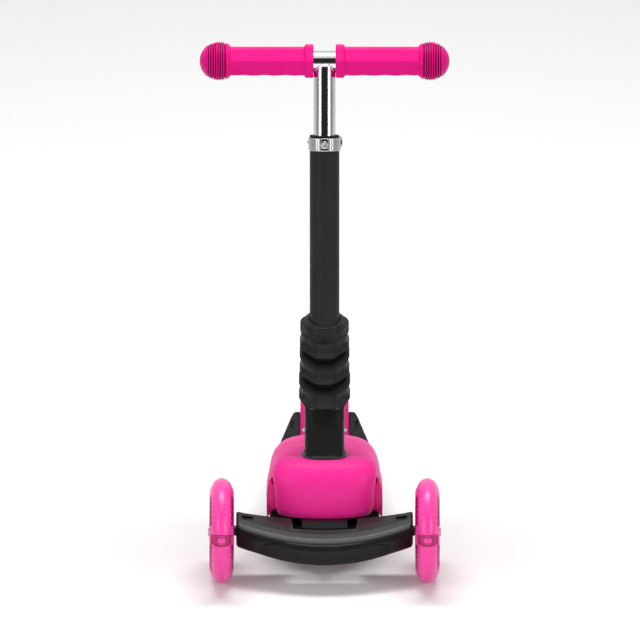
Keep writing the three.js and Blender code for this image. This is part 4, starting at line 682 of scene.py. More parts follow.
def grip_radius(x, turn):
    """How far the grip's skin is from the bar's middle, at a place along it and a turn from straight ahead.

    A rounded hexagon, flat / (sum of |cos| ** power over its three pairs of flats) ** (1 / power), carries
    the flange and the body; the ball is the root of its radius squared less the distance squared. A soft step
    mixes them. Cosine swells lift the underside for the fingers, and each groove takes away its bell.
    """
    pairs = np.stack([np.abs(np.cos(turn - math.radians(30 + 60 * k))) for k in range(3)])
    hexagon = (pairs**FLAT_POWER).sum(0) ** (-1 / FLAT_POWER)
    flange = 1 / (1 + np.exp((x - FLANGE_END) / 0.42))
    flat = GRIP_FLAT + FLANGE_RISE * flange - 0.9 * np.exp(-(x - GRIP_START) / 0.5)
    eased = np.clip((x - SWELLS_START) / SWELL_EASE, 0, 1) * np.clip((SWELLS_END - x) / SWELL_EASE, 0, 1)
    below = np.clip(-np.sin(turn), 0, 1) ** 2 * eased
    wave = np.cos((x - SWELLS_START - SWELL_EASE) * 2 * math.pi / SWELL_PITCH)
    body = flat * hexagon + SWELL_RISE * below * wave
    ball = np.sqrt(np.maximum(BALL_R**2 - (x - BALL_X) ** 2, 0.2))
    mix = 1 / (1 + np.exp(-(x - BALL_JOIN) / 0.75))
    grooved = sum(depth * bell for depth, bell in zip(GROOVE_DEPTHS, groove_bells(x)))
    return body * (1 - mix) + np.minimum(ball, BALL_R) * mix - grooved


def grip(side, name):
    """Rings from the bore's blind end out to the flange, along the skin and round the end of the ball."""
    tip = BALL_X + TIP_R * np.sin(np.linspace(math.asin(TIP_START_R / TIP_R), math.pi / 2, 26))
    flange_x, body_x = places(GRIP_START, 25.5, 0.35), np.arange(26.5, 105, 1.5)
    x = np.concatenate([flange_x, body_x, np.arange(105.3, 136, 0.18), tip])
    turn = ring_turns(108)
    xs, turns = np.meshgrid(x, turn, indexing="ij")
    # Painted shade: the tone paints each groove darker, more so for deeper grooves.
    dark = sum(min(1.0, 0.3 + depth / 2) * bell for depth, bell in zip(GROOVE_DEPTHS, groove_bells(xs)))
    bore_x = np.array([BORE_END, BORE_END, 90, 60, 30, GRIP_START])
    bore_r = np.full(len(bore_x), HANDLE_R + GAP)
    bore_r[0] = 0.4
    bore = np.repeat(bore_r[:, None], len(turn), 1)
    all_x = np.concatenate([np.repeat(bore_x[:, None], len(turn), 1), xs])
    all_r = np.concatenate([bore, grip_radius(xs, turns)])
    tone = np.concatenate([bore * 0, dark])
    grid = np.stack([side * all_x, -all_r * np.cos(turn), BAR_ALONG + all_r * np.sin(turn)], -1)
    piece(f"grip_skin_{name}", Skin().tube(on_stem(grid), tone), "t_bar", grip_pink,
          (f"grip_{name}",), 60)


def cross_tube():
    """The chrome tube that carries the grips, open at both ends."""
    wall = ring_section(HANDLE_R - TUBE_WALL, HANDLE_R, HANDLE_HALF_L, HANDLE_HALF_L, TUBE_EDGE)
    tube = on_stem(turned(wall, 128, (0, 0, BAR_ALONG)))
    piece("cross_tube", Skin().hoop(tube), "t_bar", chrome, ("handle_tube",))


def weld_bead():
    """A bead round the joint of the two tubes: rings whose size swings by a sine, like a stack of ripples."""
    bead = ring_turns(12)
    way = ring_turns(120)
    out = np.stack([np.sin(way), -np.cos(way)], -1)
    x, y = (BAR_R - 0.2) * out.T
    z = BAR_ALONG - np.sqrt(np.clip((HANDLE_R + 0.6) ** 2 - y**2, 0, None))
    z = np.minimum(z, BAR_ALONG - BAR_SADDLE - 0.5)
    size = (BEAD_R + BEAD_WAVE * np.sin(way * BEAD_WAVES))[:, None]
    flat = size * np.cos(bead)
    return np.stack([x[:, None] + out[:, :1] * flat, y[:, None] + out[:, 1:] * flat,
                     z[:, None] + size * np.sin(bead)], -1)


def upright_tube():
    """The upright cut to the cross tube's round, with a bead of weld, a slot and a row of height holes.

    Its top follows the cross tube: that tube's middle less the root of its radius squared less the depth
    squared. The holes and the slot are sunk by nearly the tube's wall.
    """
    front = np.linspace(-0.42, 0.42, 57)
    rest = np.linspace(0.42, 2 * math.pi - 0.42, 91)[1:-1]
    turn = np.concatenate([front, rest])
    x, back = BAR_R * np.sin(turn), -BAR_R * np.cos(turn)
    under = BAR_ALONG - np.sqrt(np.clip((HANDLE_R + 0.1) ** 2 - back**2, 0, None))
    top = np.minimum(under, BAR_ALONG - BAR_SADDLE)
    holes = CLAMP_ALONG - HOLE_PITCH * np.arange(HOLES)
    edges = [(hole + k * HOLE_R - BAR_LOW) / 300 for hole in holes for k in (-1, 1)]
    share = places(0, 1, 0.002, edges, 0.0004)
    along = BAR_LOW + share[:, None] * (top[None] - BAR_LOW)
    sunk = (np.abs(x[None]) < BAR_SLOT_HALF) & (along > BAR_SLOT_LOW) & (along < BAR_SLOT_HIGH)
    for hole in holes:
        sunk = np.maximum(sunk, np.hypot(along - hole, x[None]) < HOLE_R)
    sunk = sunk * (np.cos(turn) > 0)[None]
    r = BAR_R - HOLE_SINK * sunk
    outer = np.stack([r * np.sin(turn), -r * np.cos(turn), along], -1)
    inner_r = np.full_like(along, BAR_R - TUBE_WALL)
    inner = np.stack([inner_r * np.sin(turn), -inner_r * np.cos(turn), along], -1)
    tone = np.concatenate([sunk, sunk[::-1] * 0])
    skin = Skin().hoop(on_stem(np.concatenate([outer, inner[::-1]])), tone)
    skin.hoop(on_stem(weld_bead()))
    piece("upright_tube", skin, "t_bar", chrome, ("bar_tube",), 45)


# Clamp and outer tube

RIB_PLACES, RIB_HALF, RIB_SINK = (-7.7, -5.3, 5.3, 7.7), 0.37, 0.55
WINDOW_HALF_W, WINDOW_HALF_H, BUTTON_WINDOW_SINK, WINDOW_TURN = 3.4, 6.0, 1.3, 0.186
COLLAR_EDGE, COLLAR_BORE_R, COLLAR_SLIT, COLLAR_BAND = 0.7, 16.3, 3.0, 1.4
LUG_ROOT, LUG_BACK, LUG_HALF_W, LUG_CORNER, LUG_EDGE = 16.2, 31.0, 7.6, 2.0, 0.6
BUSH_BORE_R, BUSH_R, BUSH_LOW, BUSH_SEAT, BUSH_TOP = 12.7, 14.7, 341.0, 365.3, 367.5
# Section of the button: radius, and depth behind its front
BUTTON_LINE = [
    [0.3, 0.25], [1.6, 0.1], [2.2, -0.1], [2.6, 0.35], [3.0, 0.35], [3.3, -0.05], [4.2, 0.25], [4.5, 0.8],
    [4.5, 3.8], [2.3, 3.8],
]
BUTTON_PROUD, BUTTON_PIN_R, BUTTON_PIN_END = 1.8, 2.3, -9.4
# Section of a small bump in the button's middle: radius, and depth behind the face
BUMP_LINE = [[0.02, -0.35], [0.2, -0.32], [0.34, -0.1], [0.36, 0.3], [0.02, 0.3]]
BUMPS, BUMP_CIRCLE_R = 6, 1.05
TUBE_FOOT, TUBE_SEAT, SEAT_R, TUBE_BORE_R = -44.0, 349.7, 16.0, 15.0


def collar():
    """The clamp band: a rounded section carried round the tube from one side of the slit to the other.

    Narrow upright grooves sink its skin beside the window, and the window sinks it in front of the button.
    Two lugs behind take the skewer.
    """
    slit = math.asin(COLLAR_SLIT / 2 / COLLAR_R)
    edges = [math.asin(x / COLLAR_R) for x in RIB_PLACES]
    spots = [e + k * 0.02 for e in edges for k in (-1, 1)] + [-WINDOW_TURN, WINDOW_TURN]
    turn = places(slit - math.pi, math.pi - slit, 0.035, spots, 0.005)
    low, high = COLLAR_LOW, COLLAR_TOP
    window_ends = [CLAMP_ALONG - WINDOW_HALF_H, CLAMP_ALONG + WINDOW_HALF_H]
    level = places(low + COLLAR_EDGE, high - COLLAR_EDGE, 0.8, window_ends)
    arc = np.linspace(0, math.pi / 2, 4)
    c, s = COLLAR_EDGE * np.cos(arc), COLLAR_EDGE * np.sin(arc)
    foot = np.stack([COLLAR_R - COLLAR_EDGE + s, low + COLLAR_EDGE - c], -1)
    head = np.stack([COLLAR_R - COLLAR_EDGE + c, high - COLLAR_EDGE + s], -1)
    skin_line = np.column_stack([np.full(len(level), COLLAR_R), level])
    line = np.concatenate([[[COLLAR_BORE_R, low]], foot, skin_line, head, [[COLLAR_BORE_R, high]]])
    r = np.repeat(line[None, :, 0], len(turn), 0)
    along = np.repeat(line[None, :, 1], len(turn), 0)
    x = COLLAR_R * np.sin(turn)[:, None]
    facing = (np.cos(turn) > 0)[:, None]
    inside = (along > low + COLLAR_BAND) & (along < high - COLLAR_BAND)
    rib = np.max([np.abs(x - place) < RIB_HALF for place in RIB_PLACES], 0) & facing & inside
    window = (np.abs(x) < WINDOW_HALF_W) & (np.abs(along - CLAMP_ALONG) < WINDOW_HALF_H) & facing
    skin_now = r > COLLAR_R - 0.1
    r = r - np.where(skin_now, np.maximum(RIB_SINK * rib, BUTTON_WINDOW_SINK * window), 0)
    grid = np.stack([r * np.sin(turn)[:, None], -r * np.cos(turn)[:, None], along], -1)
    # Painted shade: the grooves and the window carry the tone.
    skin = Skin().tube(on_stem(grid), np.where(skin_now, np.maximum(rib * 0.8, window), 0))
    eased = LUG_BACK - 0.8
    outline = [[LUG_ROOT, low], [eased, low], [LUG_BACK, low + 3], [LUG_BACK, high - 3], [eased, high],
               [LUG_ROOT, high]]
    lug = slab(rounded(outline, LUG_CORNER), COLLAR_SLIT / 2, LUG_HALF_W, LUG_EDGE, "x")
    for side in (-1, 1):
        skin.tube(on_stem(lug * [side, 1, 1]))
    piece("collar_band", skin, "deck", collar_steel, ("clamp_collar",), 40)
    flange = rounded([[BUSH_BORE_R, BUSH_LOW], [BUSH_R, BUSH_LOW], [BUSH_R, BUSH_SEAT], [TUBE_R, BUSH_SEAT],
                      [TUBE_R, BUSH_TOP], [BUSH_BORE_R, BUSH_TOP]], 0.5, 3)
    bush = on_stem(turned(flange, 96, axis="z"))
    piece("bush_flange", Skin().hoop(bush), "deck", shell_black, ("tube_bush",))


def height_button():
    """A turned button: a domed rim, a ring groove, small bumps in its middle, and its pin."""
    face = -COLLAR_R - BUTTON_PROUD
    line = [[r, face + depth] for r, depth in BUTTON_LINE]
    line += [[BUTTON_PIN_R, BUTTON_PIN_END], [0.3, BUTTON_PIN_END]]
    skin = Skin().tube(on_stem(turned(rounded(line, 0.3, 3)[4:], 56, (0, 0, CLAMP_ALONG), "y")))
    bump = turned(BUMP_LINE, 12, axis="y")
    for t in ring_turns(BUMPS):
        spot = [BUMP_CIRCLE_R * math.cos(t), face + 0.1, CLAMP_ALONG + BUMP_CIRCLE_R * math.sin(t)]
        skin.tube(on_stem(bump + spot))
    piece("button", skin, "height_button", lever_chrome, ("height_button",))


def stem_tube():
    """The black outer tube with its narrower seat for the collar and a rolled lower edge."""
    line = rounded([[TUBE_BORE_R, TUBE_FOOT], [TUBE_R, TUBE_FOOT], [TUBE_R, TUBE_SEAT], [SEAT_R, TUBE_SEAT],
                    [SEAT_R, COLLAR_TOP], [TUBE_BORE_R, COLLAR_TOP]], 0.4, 3)
    cuts = np.linspace(-40, 345, 40)
    at = int(np.argmax((line[:, 0] > TUBE_R - 0.01) & (line[:, 1] > 300)))
    line = np.concatenate([line[:at], np.column_stack([np.full(len(cuts), TUBE_R), cuts]), line[at:]])
    tube = on_stem(turned(line, 120, axis="z"))
    piece("stem_tube", Skin().hoop(tube), "deck", tube_black, ("outer_tube",))


# Bellows boot, stem box and gasket

BOOT_R, BOOT_LOW, BOOT_LENGTH, BOOT_HIGH, BOOT_COLUMNS = 30.1, 60.5, 101.5, 157.0, 144
FOLD_DEPTH, FOLD_SWELL, REAR_RISE = 30.0, 0.022, 0.44
BOX_HALF_W, BOX_HALF_D, BOX_POWER, BOX_FOOT, BOX_TOP = 22.8, 20.5, 3.6, -46.0, 60.0
PLATE_HALF_W, PLATE_FRONT, PLATE_REAR, PLATE_CORNER, PLATE_T = 38, 60, 118, 6, 6
NECK_R, NECK_TOP = 18.3, 83
# Rows of the stem box: share of its height, and how far it is drawn in
BOX_ROWS = np.array([
    [0, 1.2], [0.02, 0], [0.25, 0], [0.5, 0], [0.75, 0], [0.985, 0], [0.994, 0.35], [1, 1.1],
])
# Section of the gasket: half width, half depth and height above the hood
GASKET_LINE = [[26, 22.6, GAP], [25.9, 22.5, 1.6], [23.7, 20.9, 4.4], [22.9, 20.3, 4.4], [22.9, 20.3, GAP]]
# Rings of the boot: share of its length, share of its radius, depth in front, slope in front, and rounding
BOOT_RINGS = [
    [0.108, 1.0, 0.83, 0.4, 1.0], [0.183, 0.88, 0.98, 0.43, 5.0], [0.285, 1.0, 0.97, 0.43, 0.7],
    [0.335, 0.78, 1.0, 0.43, 1.2], [0.378, 0.8, 1.0, 0.43, 1.0], [0.399, 0.98, 0.83, 0.43, 0.8],
    [0.474, 0.86, 1.0, 0.43, 5.0], [0.583, 0.97, 1.0, 0.43, 0.7], [0.628, 0.78, 1.0, 0.43, 1.2],
    [0.67, 0.8, 1.0, 0.43, 1.0], [0.69, 0.97, 0.83, 0.43, 0.8], [0.769, 0.86, 1.0, 0.43, 5.0],
    [0.88, 0.95, 1.0, 0.43, 0.7],
]


def boot_ring(row, turn):
    """One ring: round with a faint eight-sided swell, flatter in front, and dropping there by its slope.

    A row is the place along the boot, the radius, the depth in front as a share, the slope in front as a
    share, the power of the plan (2 is round) and the swell.
    """
    along, radius, front, slope, power, swell = [row[:, i:i + 1] for i in range(6)]
    c, s = np.cos(turn), np.sin(turn)
    x = radius * np.sign(c) * np.abs(c) ** (2 / power)
    y = radius * np.sign(s) * np.abs(s) ** (2 / power)
    bulge = 1 - swell * np.cos(8 * np.arctan2(y, x))
    depth = y * bulge * np.where(y < 0, front, 1)
    rise = depth * slope * np.where(y < 0, 1, REAR_RISE)
    centre_y = STEM_Y + along * math.sin(STEM_RAKE)
    centre_z = STEM_Z + along * math.cos(STEM_RAKE)
    return np.stack([x * bulge, centre_y + depth, centre_z + rise], -1)


def boot():
    """The boot's rows rounded as one line in length, radius, depth and slope, then carried round the stem."""
    rows = [[BOOT_LOW, 23.4, 1, 0, 0]]
    rows += [[BOOT_LOW + r[0] * BOOT_LENGTH, BOOT_R * r[1], r[2], r[3], FOLD_SWELL] for r in BOOT_RINGS]
    rows += [[BOOT_HIGH - 6.2, 23.2, 1, 0.3, 0], [BOOT_HIGH, 22.4, 1, 0.14, 0],
             [BOOT_HIGH + 0.3, 18, 1, 0.14, 0]]
    sizes = np.array([1.0] + [r[4] for r in BOOT_RINGS] + [0.8, 0.9, 0.3])
    scale = [1, 1, FOLD_DEPTH, FOLD_DEPTH, 1]
    line = rounded(np.array(rows) * scale, sizes, 5, closed=False) / scale
    share = np.clip((line[:, 0] - BOOT_LOW) / (0.1 * BOOT_LENGTH), 0, 1)
    row = np.column_stack([line[:, :4], 3.4 - 1.4 * share, line[:, 4]])
    inside = np.array([[BOOT_HIGH - 6, r, 1, 0.58, 2, 0] for r in (18.0, 0.5)])
    grid = boot_ring(np.concatenate([row, inside]), ring_turns(BOOT_COLUMNS))
    # Painted shade: the tone darkens the waists of the folds and the two inside rings of the mouth.
    waist = np.clip((0.9 * BOOT_R - line[:, 1]) / (0.1 * BOOT_R), 0, 1)
    folded = (share >= 1) * (line[:, 0] < BOOT_LOW + 0.86 * BOOT_LENGTH)
    dark = np.concatenate([waist * folded, [1, 1]])
    skin = Skin().tube(grid, np.repeat(dark[:, None], BOOT_COLUMNS, 1))
    piece("bellows", skin, "deck", boot_black, ("bellows_boot",), 70)


def stem_box():
    """The box that holds the stem: squared rings up the rake to a level top, over a rounded base plate."""
    turn = ring_turns(112)
    x, y = squared(turn, BOX_HALF_W, BOX_HALF_D, BOX_POWER)
    share, shrink = BOX_ROWS[:, :1], 1 - BOX_ROWS[:, 1:] / BOX_HALF_D
    low = on_stem(np.stack([x, y, np.full_like(x, BOX_FOOT)], -1))
    axis = np.array([0, math.sin(STEM_RAKE), math.cos(STEM_RAKE)])
    reach = (STEM_Z + BOX_TOP * axis[2] - low[:, 2]) / axis[2]
    base = on_stem(np.stack([x * shrink, y * shrink, np.full((len(share), len(x)), BOX_FOOT)], -1))
    skin = Skin().tube(base + axis * (share * reach)[..., None])
    plate = box_outline(-PLATE_HALF_W, PLATE_HALF_W, PLATE_FRONT, PLATE_REAR, PLATE_CORNER)
    skin.tube(slab(plate, DECK_TOP + GAP, DECK_TOP + GAP + PLATE_T, 1.0, "z"))
    neck = rounded([[0.5, 0], [NECK_R, 0], [NECK_R, NECK_TOP], [0.5, NECK_TOP]], 1.0, 3)
    skin.tube(on_stem(turned(neck[6:-6], 72, axis="z")))
    piece("stem_box", skin, "deck", box_black, ("stem_socket",), 40)
    x, y = squared(turn, 1.0, 1.0, 2.5)
    line = rounded(GASKET_LINE, 1.0, 3)
    grid = np.stack([line[:, :1] * x, line[:, 1:2] * y, np.repeat(line[:, 2:], len(x), 1)], -1)
    skin = Skin().hoop(on_hood_top(grid))
    piece("gasket", skin, "deck", gasket_black_painted_sheen, ("socket_gasket",), 60)


# Hood

# Nose: shares of height, half width and depth, how square its plan is, and how far its front sweeps back
NOSE_ROWS = [
    [0, 0.935, 0.979, 9, 0.25], [0.07, 0.975, 1, 8, 0.25], [0.25, 0.995, 1, 6, 0.21],
    [0.5, 1.015, 0.9375, 4.4, 0.16], [0.7, 1.032, 0.821, 3.7, 0.12], [0.84, 0.995, 0.683, 3.3, 0.09],
    [0.93, 0.92, 0.54, 3, 0.06], [1, 0.75, 0.354, 2.8, 0.04],
]
NOSE_FOOT, NOSE_HEIGHT, NOSE_TOP, NOSE_CROWN = 60, 60, 120, 0.5
# Shoulder: shares of length, half width and rise above the deck
SHOULDER_ROWS = [
    [0, 1, 1], [0.19, 1, 1], [0.33, 0.975, 0.95], [0.48, 0.955, 0.83], [0.62, 0.925, 0.69], [0.75, 0.87, 0.5],
    [0.86, 0.795, 0.3], [0.93, 0.7, 0.15], [1, 0.5, 0],
]


# Outline of a cheek plate: across and up
CHEEK = [
    [66.1, 50.2], [66.2, 66], [65.6, 80], [63.8, 91], [61.6, 91], [57.4, 86.2], [54.5, 84.6], [54.5, 60.2],
    [58.5, 59.8], [62.6, 56.4],
]
CHEEK_AHEAD, CHEEK_BACK, CHEEK_EDGE, CHEEK_BEND, CHEEK_REACH = 0.3, 4, 0.5, 90, 45
SHOULDER_LOW, SHOULDER_RISE, ARCH_POWER, ARCH_SQUARER = 76, 37.5, 2.7, 0.5
# The front edge behind the nose: half width, height it starts at, how far back it lies, and its ease
SET_BACK_HALF_W, SET_BACK_LOW, SET_BACK, SET_BACK_EASE = 60, 84, 8, 1.5


def half_turn():
    """Half a turn in steps that shorten towards both of its ends."""
    return math.pi * (0.5 - 0.5 * np.cos(np.linspace(0, math.pi, 121)))


def nose_sheet(grow):
    """The nose: rows up its height, each half a turn of a squared plan, then over its top to the middle.

    x is half width times the squared cosine. y is set forward by the depth times the squared sine and swept
    back by the square of x. z leans with the hood's tilt as it nears the top.
    """
    height = np.concatenate([np.linspace(0, 0.8, 34), np.linspace(0.8, 1, 32)[1:]])
    over = np.linspace(1, 0.02, 22)[1:]
    row = flowing(NOSE_ROWS, height)
    row = np.concatenate([row, np.repeat(row[-1:], len(over), 0)])
    h = np.concatenate([height, np.ones(len(over))])[:, None]
    shrink = np.concatenate([np.ones(len(height)), over])[:, None]
    c, s = np.cos(half_turn()), np.sin(half_turn())
    power = 2 / row[:, 2:3]
    across = np.sign(c) * np.abs(c) ** power
    deep = np.abs(s) ** power
    w, d = (NOSE_HALF_W * row[:, :1] + grow) * shrink, (NOSE_DEPTH * row[:, 1:2] + grow) * shrink
    y = NOSE_REAR - d * deep + row[:, 3:4] * NOSE_DEPTH * across**2 * deep * shrink
    tilted = (STEM_Y - y) * math.tan(HOOD_TILT) * h
    z = NOSE_FOOT + h * NOSE_HEIGHT + tilted + (STEM_Z - NOSE_TOP) * h + grow * h**6
    return np.stack([w * across, y, z + (1 - shrink**2) * NOSE_CROWN], -1)


def hood_nose():
    """Two nose sheets a wall apart, closed round their edges."""
    skin = Skin().walled(nose_sheet(0.0), nose_sheet(-HOOD_WALL))
    made = piece("hood_nose_skin", skin, "deck", hood_pink, ("hood_nose",), 60)
    rolled(made, 0.9)


def rolled(made, width):
    """Rounds the sharp rims of a walled piece."""
    bevel = made.modifiers.new("rolled_rim", "BEVEL")
    bevel.width, bevel.segments, bevel.limit_method = width / MM, 3, "ANGLE"
    bevel.angle_limit = math.radians(60)


def shoulder_sheet(grow):
    """The shoulder: arches of a rounded plan, powers of |cos| and |sin|, that narrow and drop to the rear.

    Each arch goes straight on down to the shoulder's foot. Behind the nose the first ones start further back.
    """
    share = np.concatenate([np.linspace(0, 0.84, 70), np.linspace(0.84, 1, 34)[1:]])
    row = flowing(SHOULDER_ROWS, share)
    c, s = np.cos(half_turn()), np.sin(half_turn())
    w = SHOULDER_HALF_W * row[:, :1] + grow
    top = SHOULDER_LOW + np.clip(row[:, 1:2], 0, 1) * SHOULDER_RISE + grow
    power = 2 / (ARCH_POWER + ARCH_SQUARER * np.clip(1 - share / 0.4, 0, 1))[:, None]
    x = w * np.sign(c) * np.abs(c) ** power
    z = DECK_TOP + (top - DECK_TOP) * np.abs(s) ** power
    y = np.repeat(SHOULDER_FRONT + share[:, None] * (SHOULDER_REAR - SHOULDER_FRONT), len(c), 1)
    behind = np.clip((SET_BACK_HALF_W - np.abs(x)) / SET_BACK_EASE, 0, 1)
    behind = behind * np.clip((z - SET_BACK_LOW) / SET_BACK_EASE, 0, 1)
    y = np.maximum(y, SHOULDER_FRONT + SET_BACK * behind * (share[:, None] < 0.2))
    rising = np.repeat(np.linspace(SHOULDER_FOOT, DECK_TOP, 9)[None, :-1], len(share), 0)
    skirt = [np.stack([np.repeat(x[:, [column]], 8, 1), np.repeat(y[:, [column]], 8, 1), level], -1)
             for column, level in ((0, rising), (-1, rising[:, ::-1]))]
    return np.concatenate([skirt[0], np.stack([x, y, z], -1), skirt[1]], 1)


def hood_shoulder():
    """Two shoulder sheets a wall apart, and in front on each side a cheek plate beside the black window."""
    skin = Skin().walled(shoulder_sheet(0.0), shoulder_sheet(-HOOD_WALL))
    ahead, back = SHOULDER_FRONT - CHEEK_AHEAD, SHOULDER_FRONT + CHEEK_BACK
    plate = slab(rounded(CHEEK, 0.8, 3), ahead, back, CHEEK_EDGE, "y")
    plate[..., 1] -= CHEEK_SLOPE * np.clip(CHEEK_BEND - plate[..., 2], 0, CHEEK_REACH)
    for side in (-1, 1):
        skin.tube(plate * [side, 1, 1])
    made = piece("hood_shoulder_skin", skin, "deck", hood_pink, ("hood_shoulder",), 60)
    rolled(made, 0.7)


# Deck

# Shares of the deck's length, and of what its full width adds to its rear width
DECK_WIDTHS = [
    [0, 0.03], [0.02, 0.38], [0.045, 0.62], [0.07, 0.8], [0.09, 0.9], [0.115, 0.96], [0.16, 0.97],
    [0.25, 0.97], [0.36, 0.932], [0.47, 0.864], [0.63, 0.685], [0.72, 0.557], [0.8, 0.44], [0.87, 0.337],
    [0.94, 0.232], [0.98, 0.129], [1, 0],
]
WEB_X, WEB_HALF, POCKET_DEPTH, POCKET_WALL = (-51, -17, 17, 51), 1.3, 16.0, 6.6
POCKETS, POCKET_FIRST, POCKET_PITCH, POCKET_L = 5, 122, 44, 41.4
POCKET_X = [x for a, b in zip(WEB_X, WEB_X[1:]) for x in (a + WEB_HALF, b - WEB_HALF)]
POCKET_Y = [POCKET_FIRST + POCKET_PITCH * k + e for k in range(POCKETS) for e in (0, POCKET_L)]
TAIL_Y, BOARD_END, BOARD_LOW_EDGE, BOARD_TOP_EDGE = 316.5, 360.4, 4.0, 2.0
FORK_INNER, FORK_OUTER, FORK_EYE_R = 13.2, 20.0, 11.5
PAD_START, PAD_T, SLIT_FRONT, SLIT_REAR, SLIT_W = 203, 4, 263.5, 282.5, 2.2
PAD_EDGE, PAD_INNER_EDGE = 1.1, 0.9
# Rows of the pink strip: place along the scooter, and how far its sides and its top are drawn in
SPINE_ROWS = np.array([
    [150, 2, 1.6], [151, 0.8, 0.6], [153, 0, 0], [200, 0, 0], [240, 0, 0], [280, 0, 0], [338, 0, 0],
    [350, 0, 0], [357.5, 0, 0], [359.4, 0.6, 0.5], [360, 1.6, 1.4],
])
SPINE_TOP, SPINE_CHAMFER, SPINE_END_HALF_W = 74, 2.2, 25
PIN_Y, PIN_Z, EAR_R, EAR_INNER, EAR_OUTER = 368, 71, 4.6, 11.3, 15.3


def deck_half_width(y):
    """Half of the deck's width: the rear width plus shares of what the full width adds, read off smoothly."""
    share = np.clip((np.asarray(y, float) - DECK_FRONT) / (DECK_REAR - DECK_FRONT), 0, 1)
    wide = flowing(DECK_WIDTHS, share)[:, 0]
    tail = DECK_TAIL_HALF_W + (DECK_REAR_HALF_W - DECK_TAIL_HALF_W) * np.clip((318 - np.asarray(y)) / 5, 0, 1)
    tapered = DECK_REAR_HALF_W + (DECK_HALF_W - DECK_REAR_HALF_W) * np.clip(wide, 0, 1)
    return np.where(share < 1, tapered, tail)


def board_sections(y, half_w, low, high, round_low, round_high, columns, sunk):
    """Closed sections across a board at each y: its top from side to side, then its underside back.

    The columns are places across that stop at the section's own edge, and sunk(x, y, upper) is taken off the
    face that it is asked about.
    """
    half_w, y = half_w[:, None], y[:, None]
    arc = np.linspace(0, math.pi / 2, 5)
    flat_top = np.clip(columns[None], -(half_w - round_high), half_w - round_high)
    flat_low = np.clip(columns[None, ::-1], -(half_w - round_low), half_w - round_low)
    c, s = np.cos(arc), np.sin(arc)
    right_x = np.concatenate([half_w - round_high + round_high * s, half_w - round_low + round_low * c], 1)
    right_z = np.concatenate([high - round_high + round_high * c, low + round_low - round_low * s])
    x = np.concatenate([flat_top, right_x, flat_low, -right_x[:, ::-1]], 1)
    top_z = high - sunk(flat_top, y, True)
    low_z = low + sunk(flat_low, y, False)
    sides = np.repeat(right_z[None], len(y), 0)
    z = np.concatenate([top_z, sides, low_z, sides[:, ::-1]], 1)
    return np.stack([x, np.repeat(y, x.shape[1], 1), z], -1)


def deck():
    """The board with ribbed pockets under it, and the two fork arms that carry the rear wheel."""
    y = places(DECK_FRONT, BOARD_END, 2.6, POCKET_Y + [TAIL_Y], 0.15)
    front_curve = 4 + 26 * np.sqrt(np.clip((y - DECK_FRONT) / 9, 0, None)) + np.where(y > 56, 99, 0)
    half_w = np.minimum(deck_half_width(y), front_curve)
    columns = places(-62, 62, 4.0, POCKET_X, 0.15)

    def pockets(x, y_now, upper):
        if upper:
            return np.zeros_like(x)
        in_x = np.max([(x > a) & (x < b) for a, b in zip(POCKET_X[::2], POCKET_X[1::2])], 0)
        in_y = np.max([(y_now > a) & (y_now < b) for a, b in zip(POCKET_Y[::2], POCKET_Y[1::2])], 0)
        room = np.abs(x) < deck_half_width(y_now.ravel())[:, None] - POCKET_WALL
        return POCKET_DEPTH * (in_x * in_y * room)

    edges = (BOARD_LOW_EDGE, BOARD_TOP_EDGE)
    skin = Skin().tube(board_sections(y, half_w, DECK_BOTTOM, DECK_TOP, *edges, columns, pockets))
    skin.tube(slab(box_outline(-62.9, 62.9, 58, 84, 5), DECK_BOTTOM + 0.4, 59.4, 1.5, "z"))
    turn = np.radians(70 - np.linspace(0, 190, 25))
    eye = np.column_stack([REAR_AXLE_Y + FORK_EYE_R * np.cos(turn), REAR_R + FORK_EYE_R * np.sin(turn)])
    outline = np.concatenate([[[345, 46], [345, 66], [364, 66], [368, 60]], eye])[::-1]
    for side in (-1, 1):
        skin.tube(slab(outline, FORK_INNER, FORK_OUTER, 1.4, "x", 4) * [side, 1, 1])
    piece("deck_board", skin, "deck", shell_black, ("deck_shell",), 40)


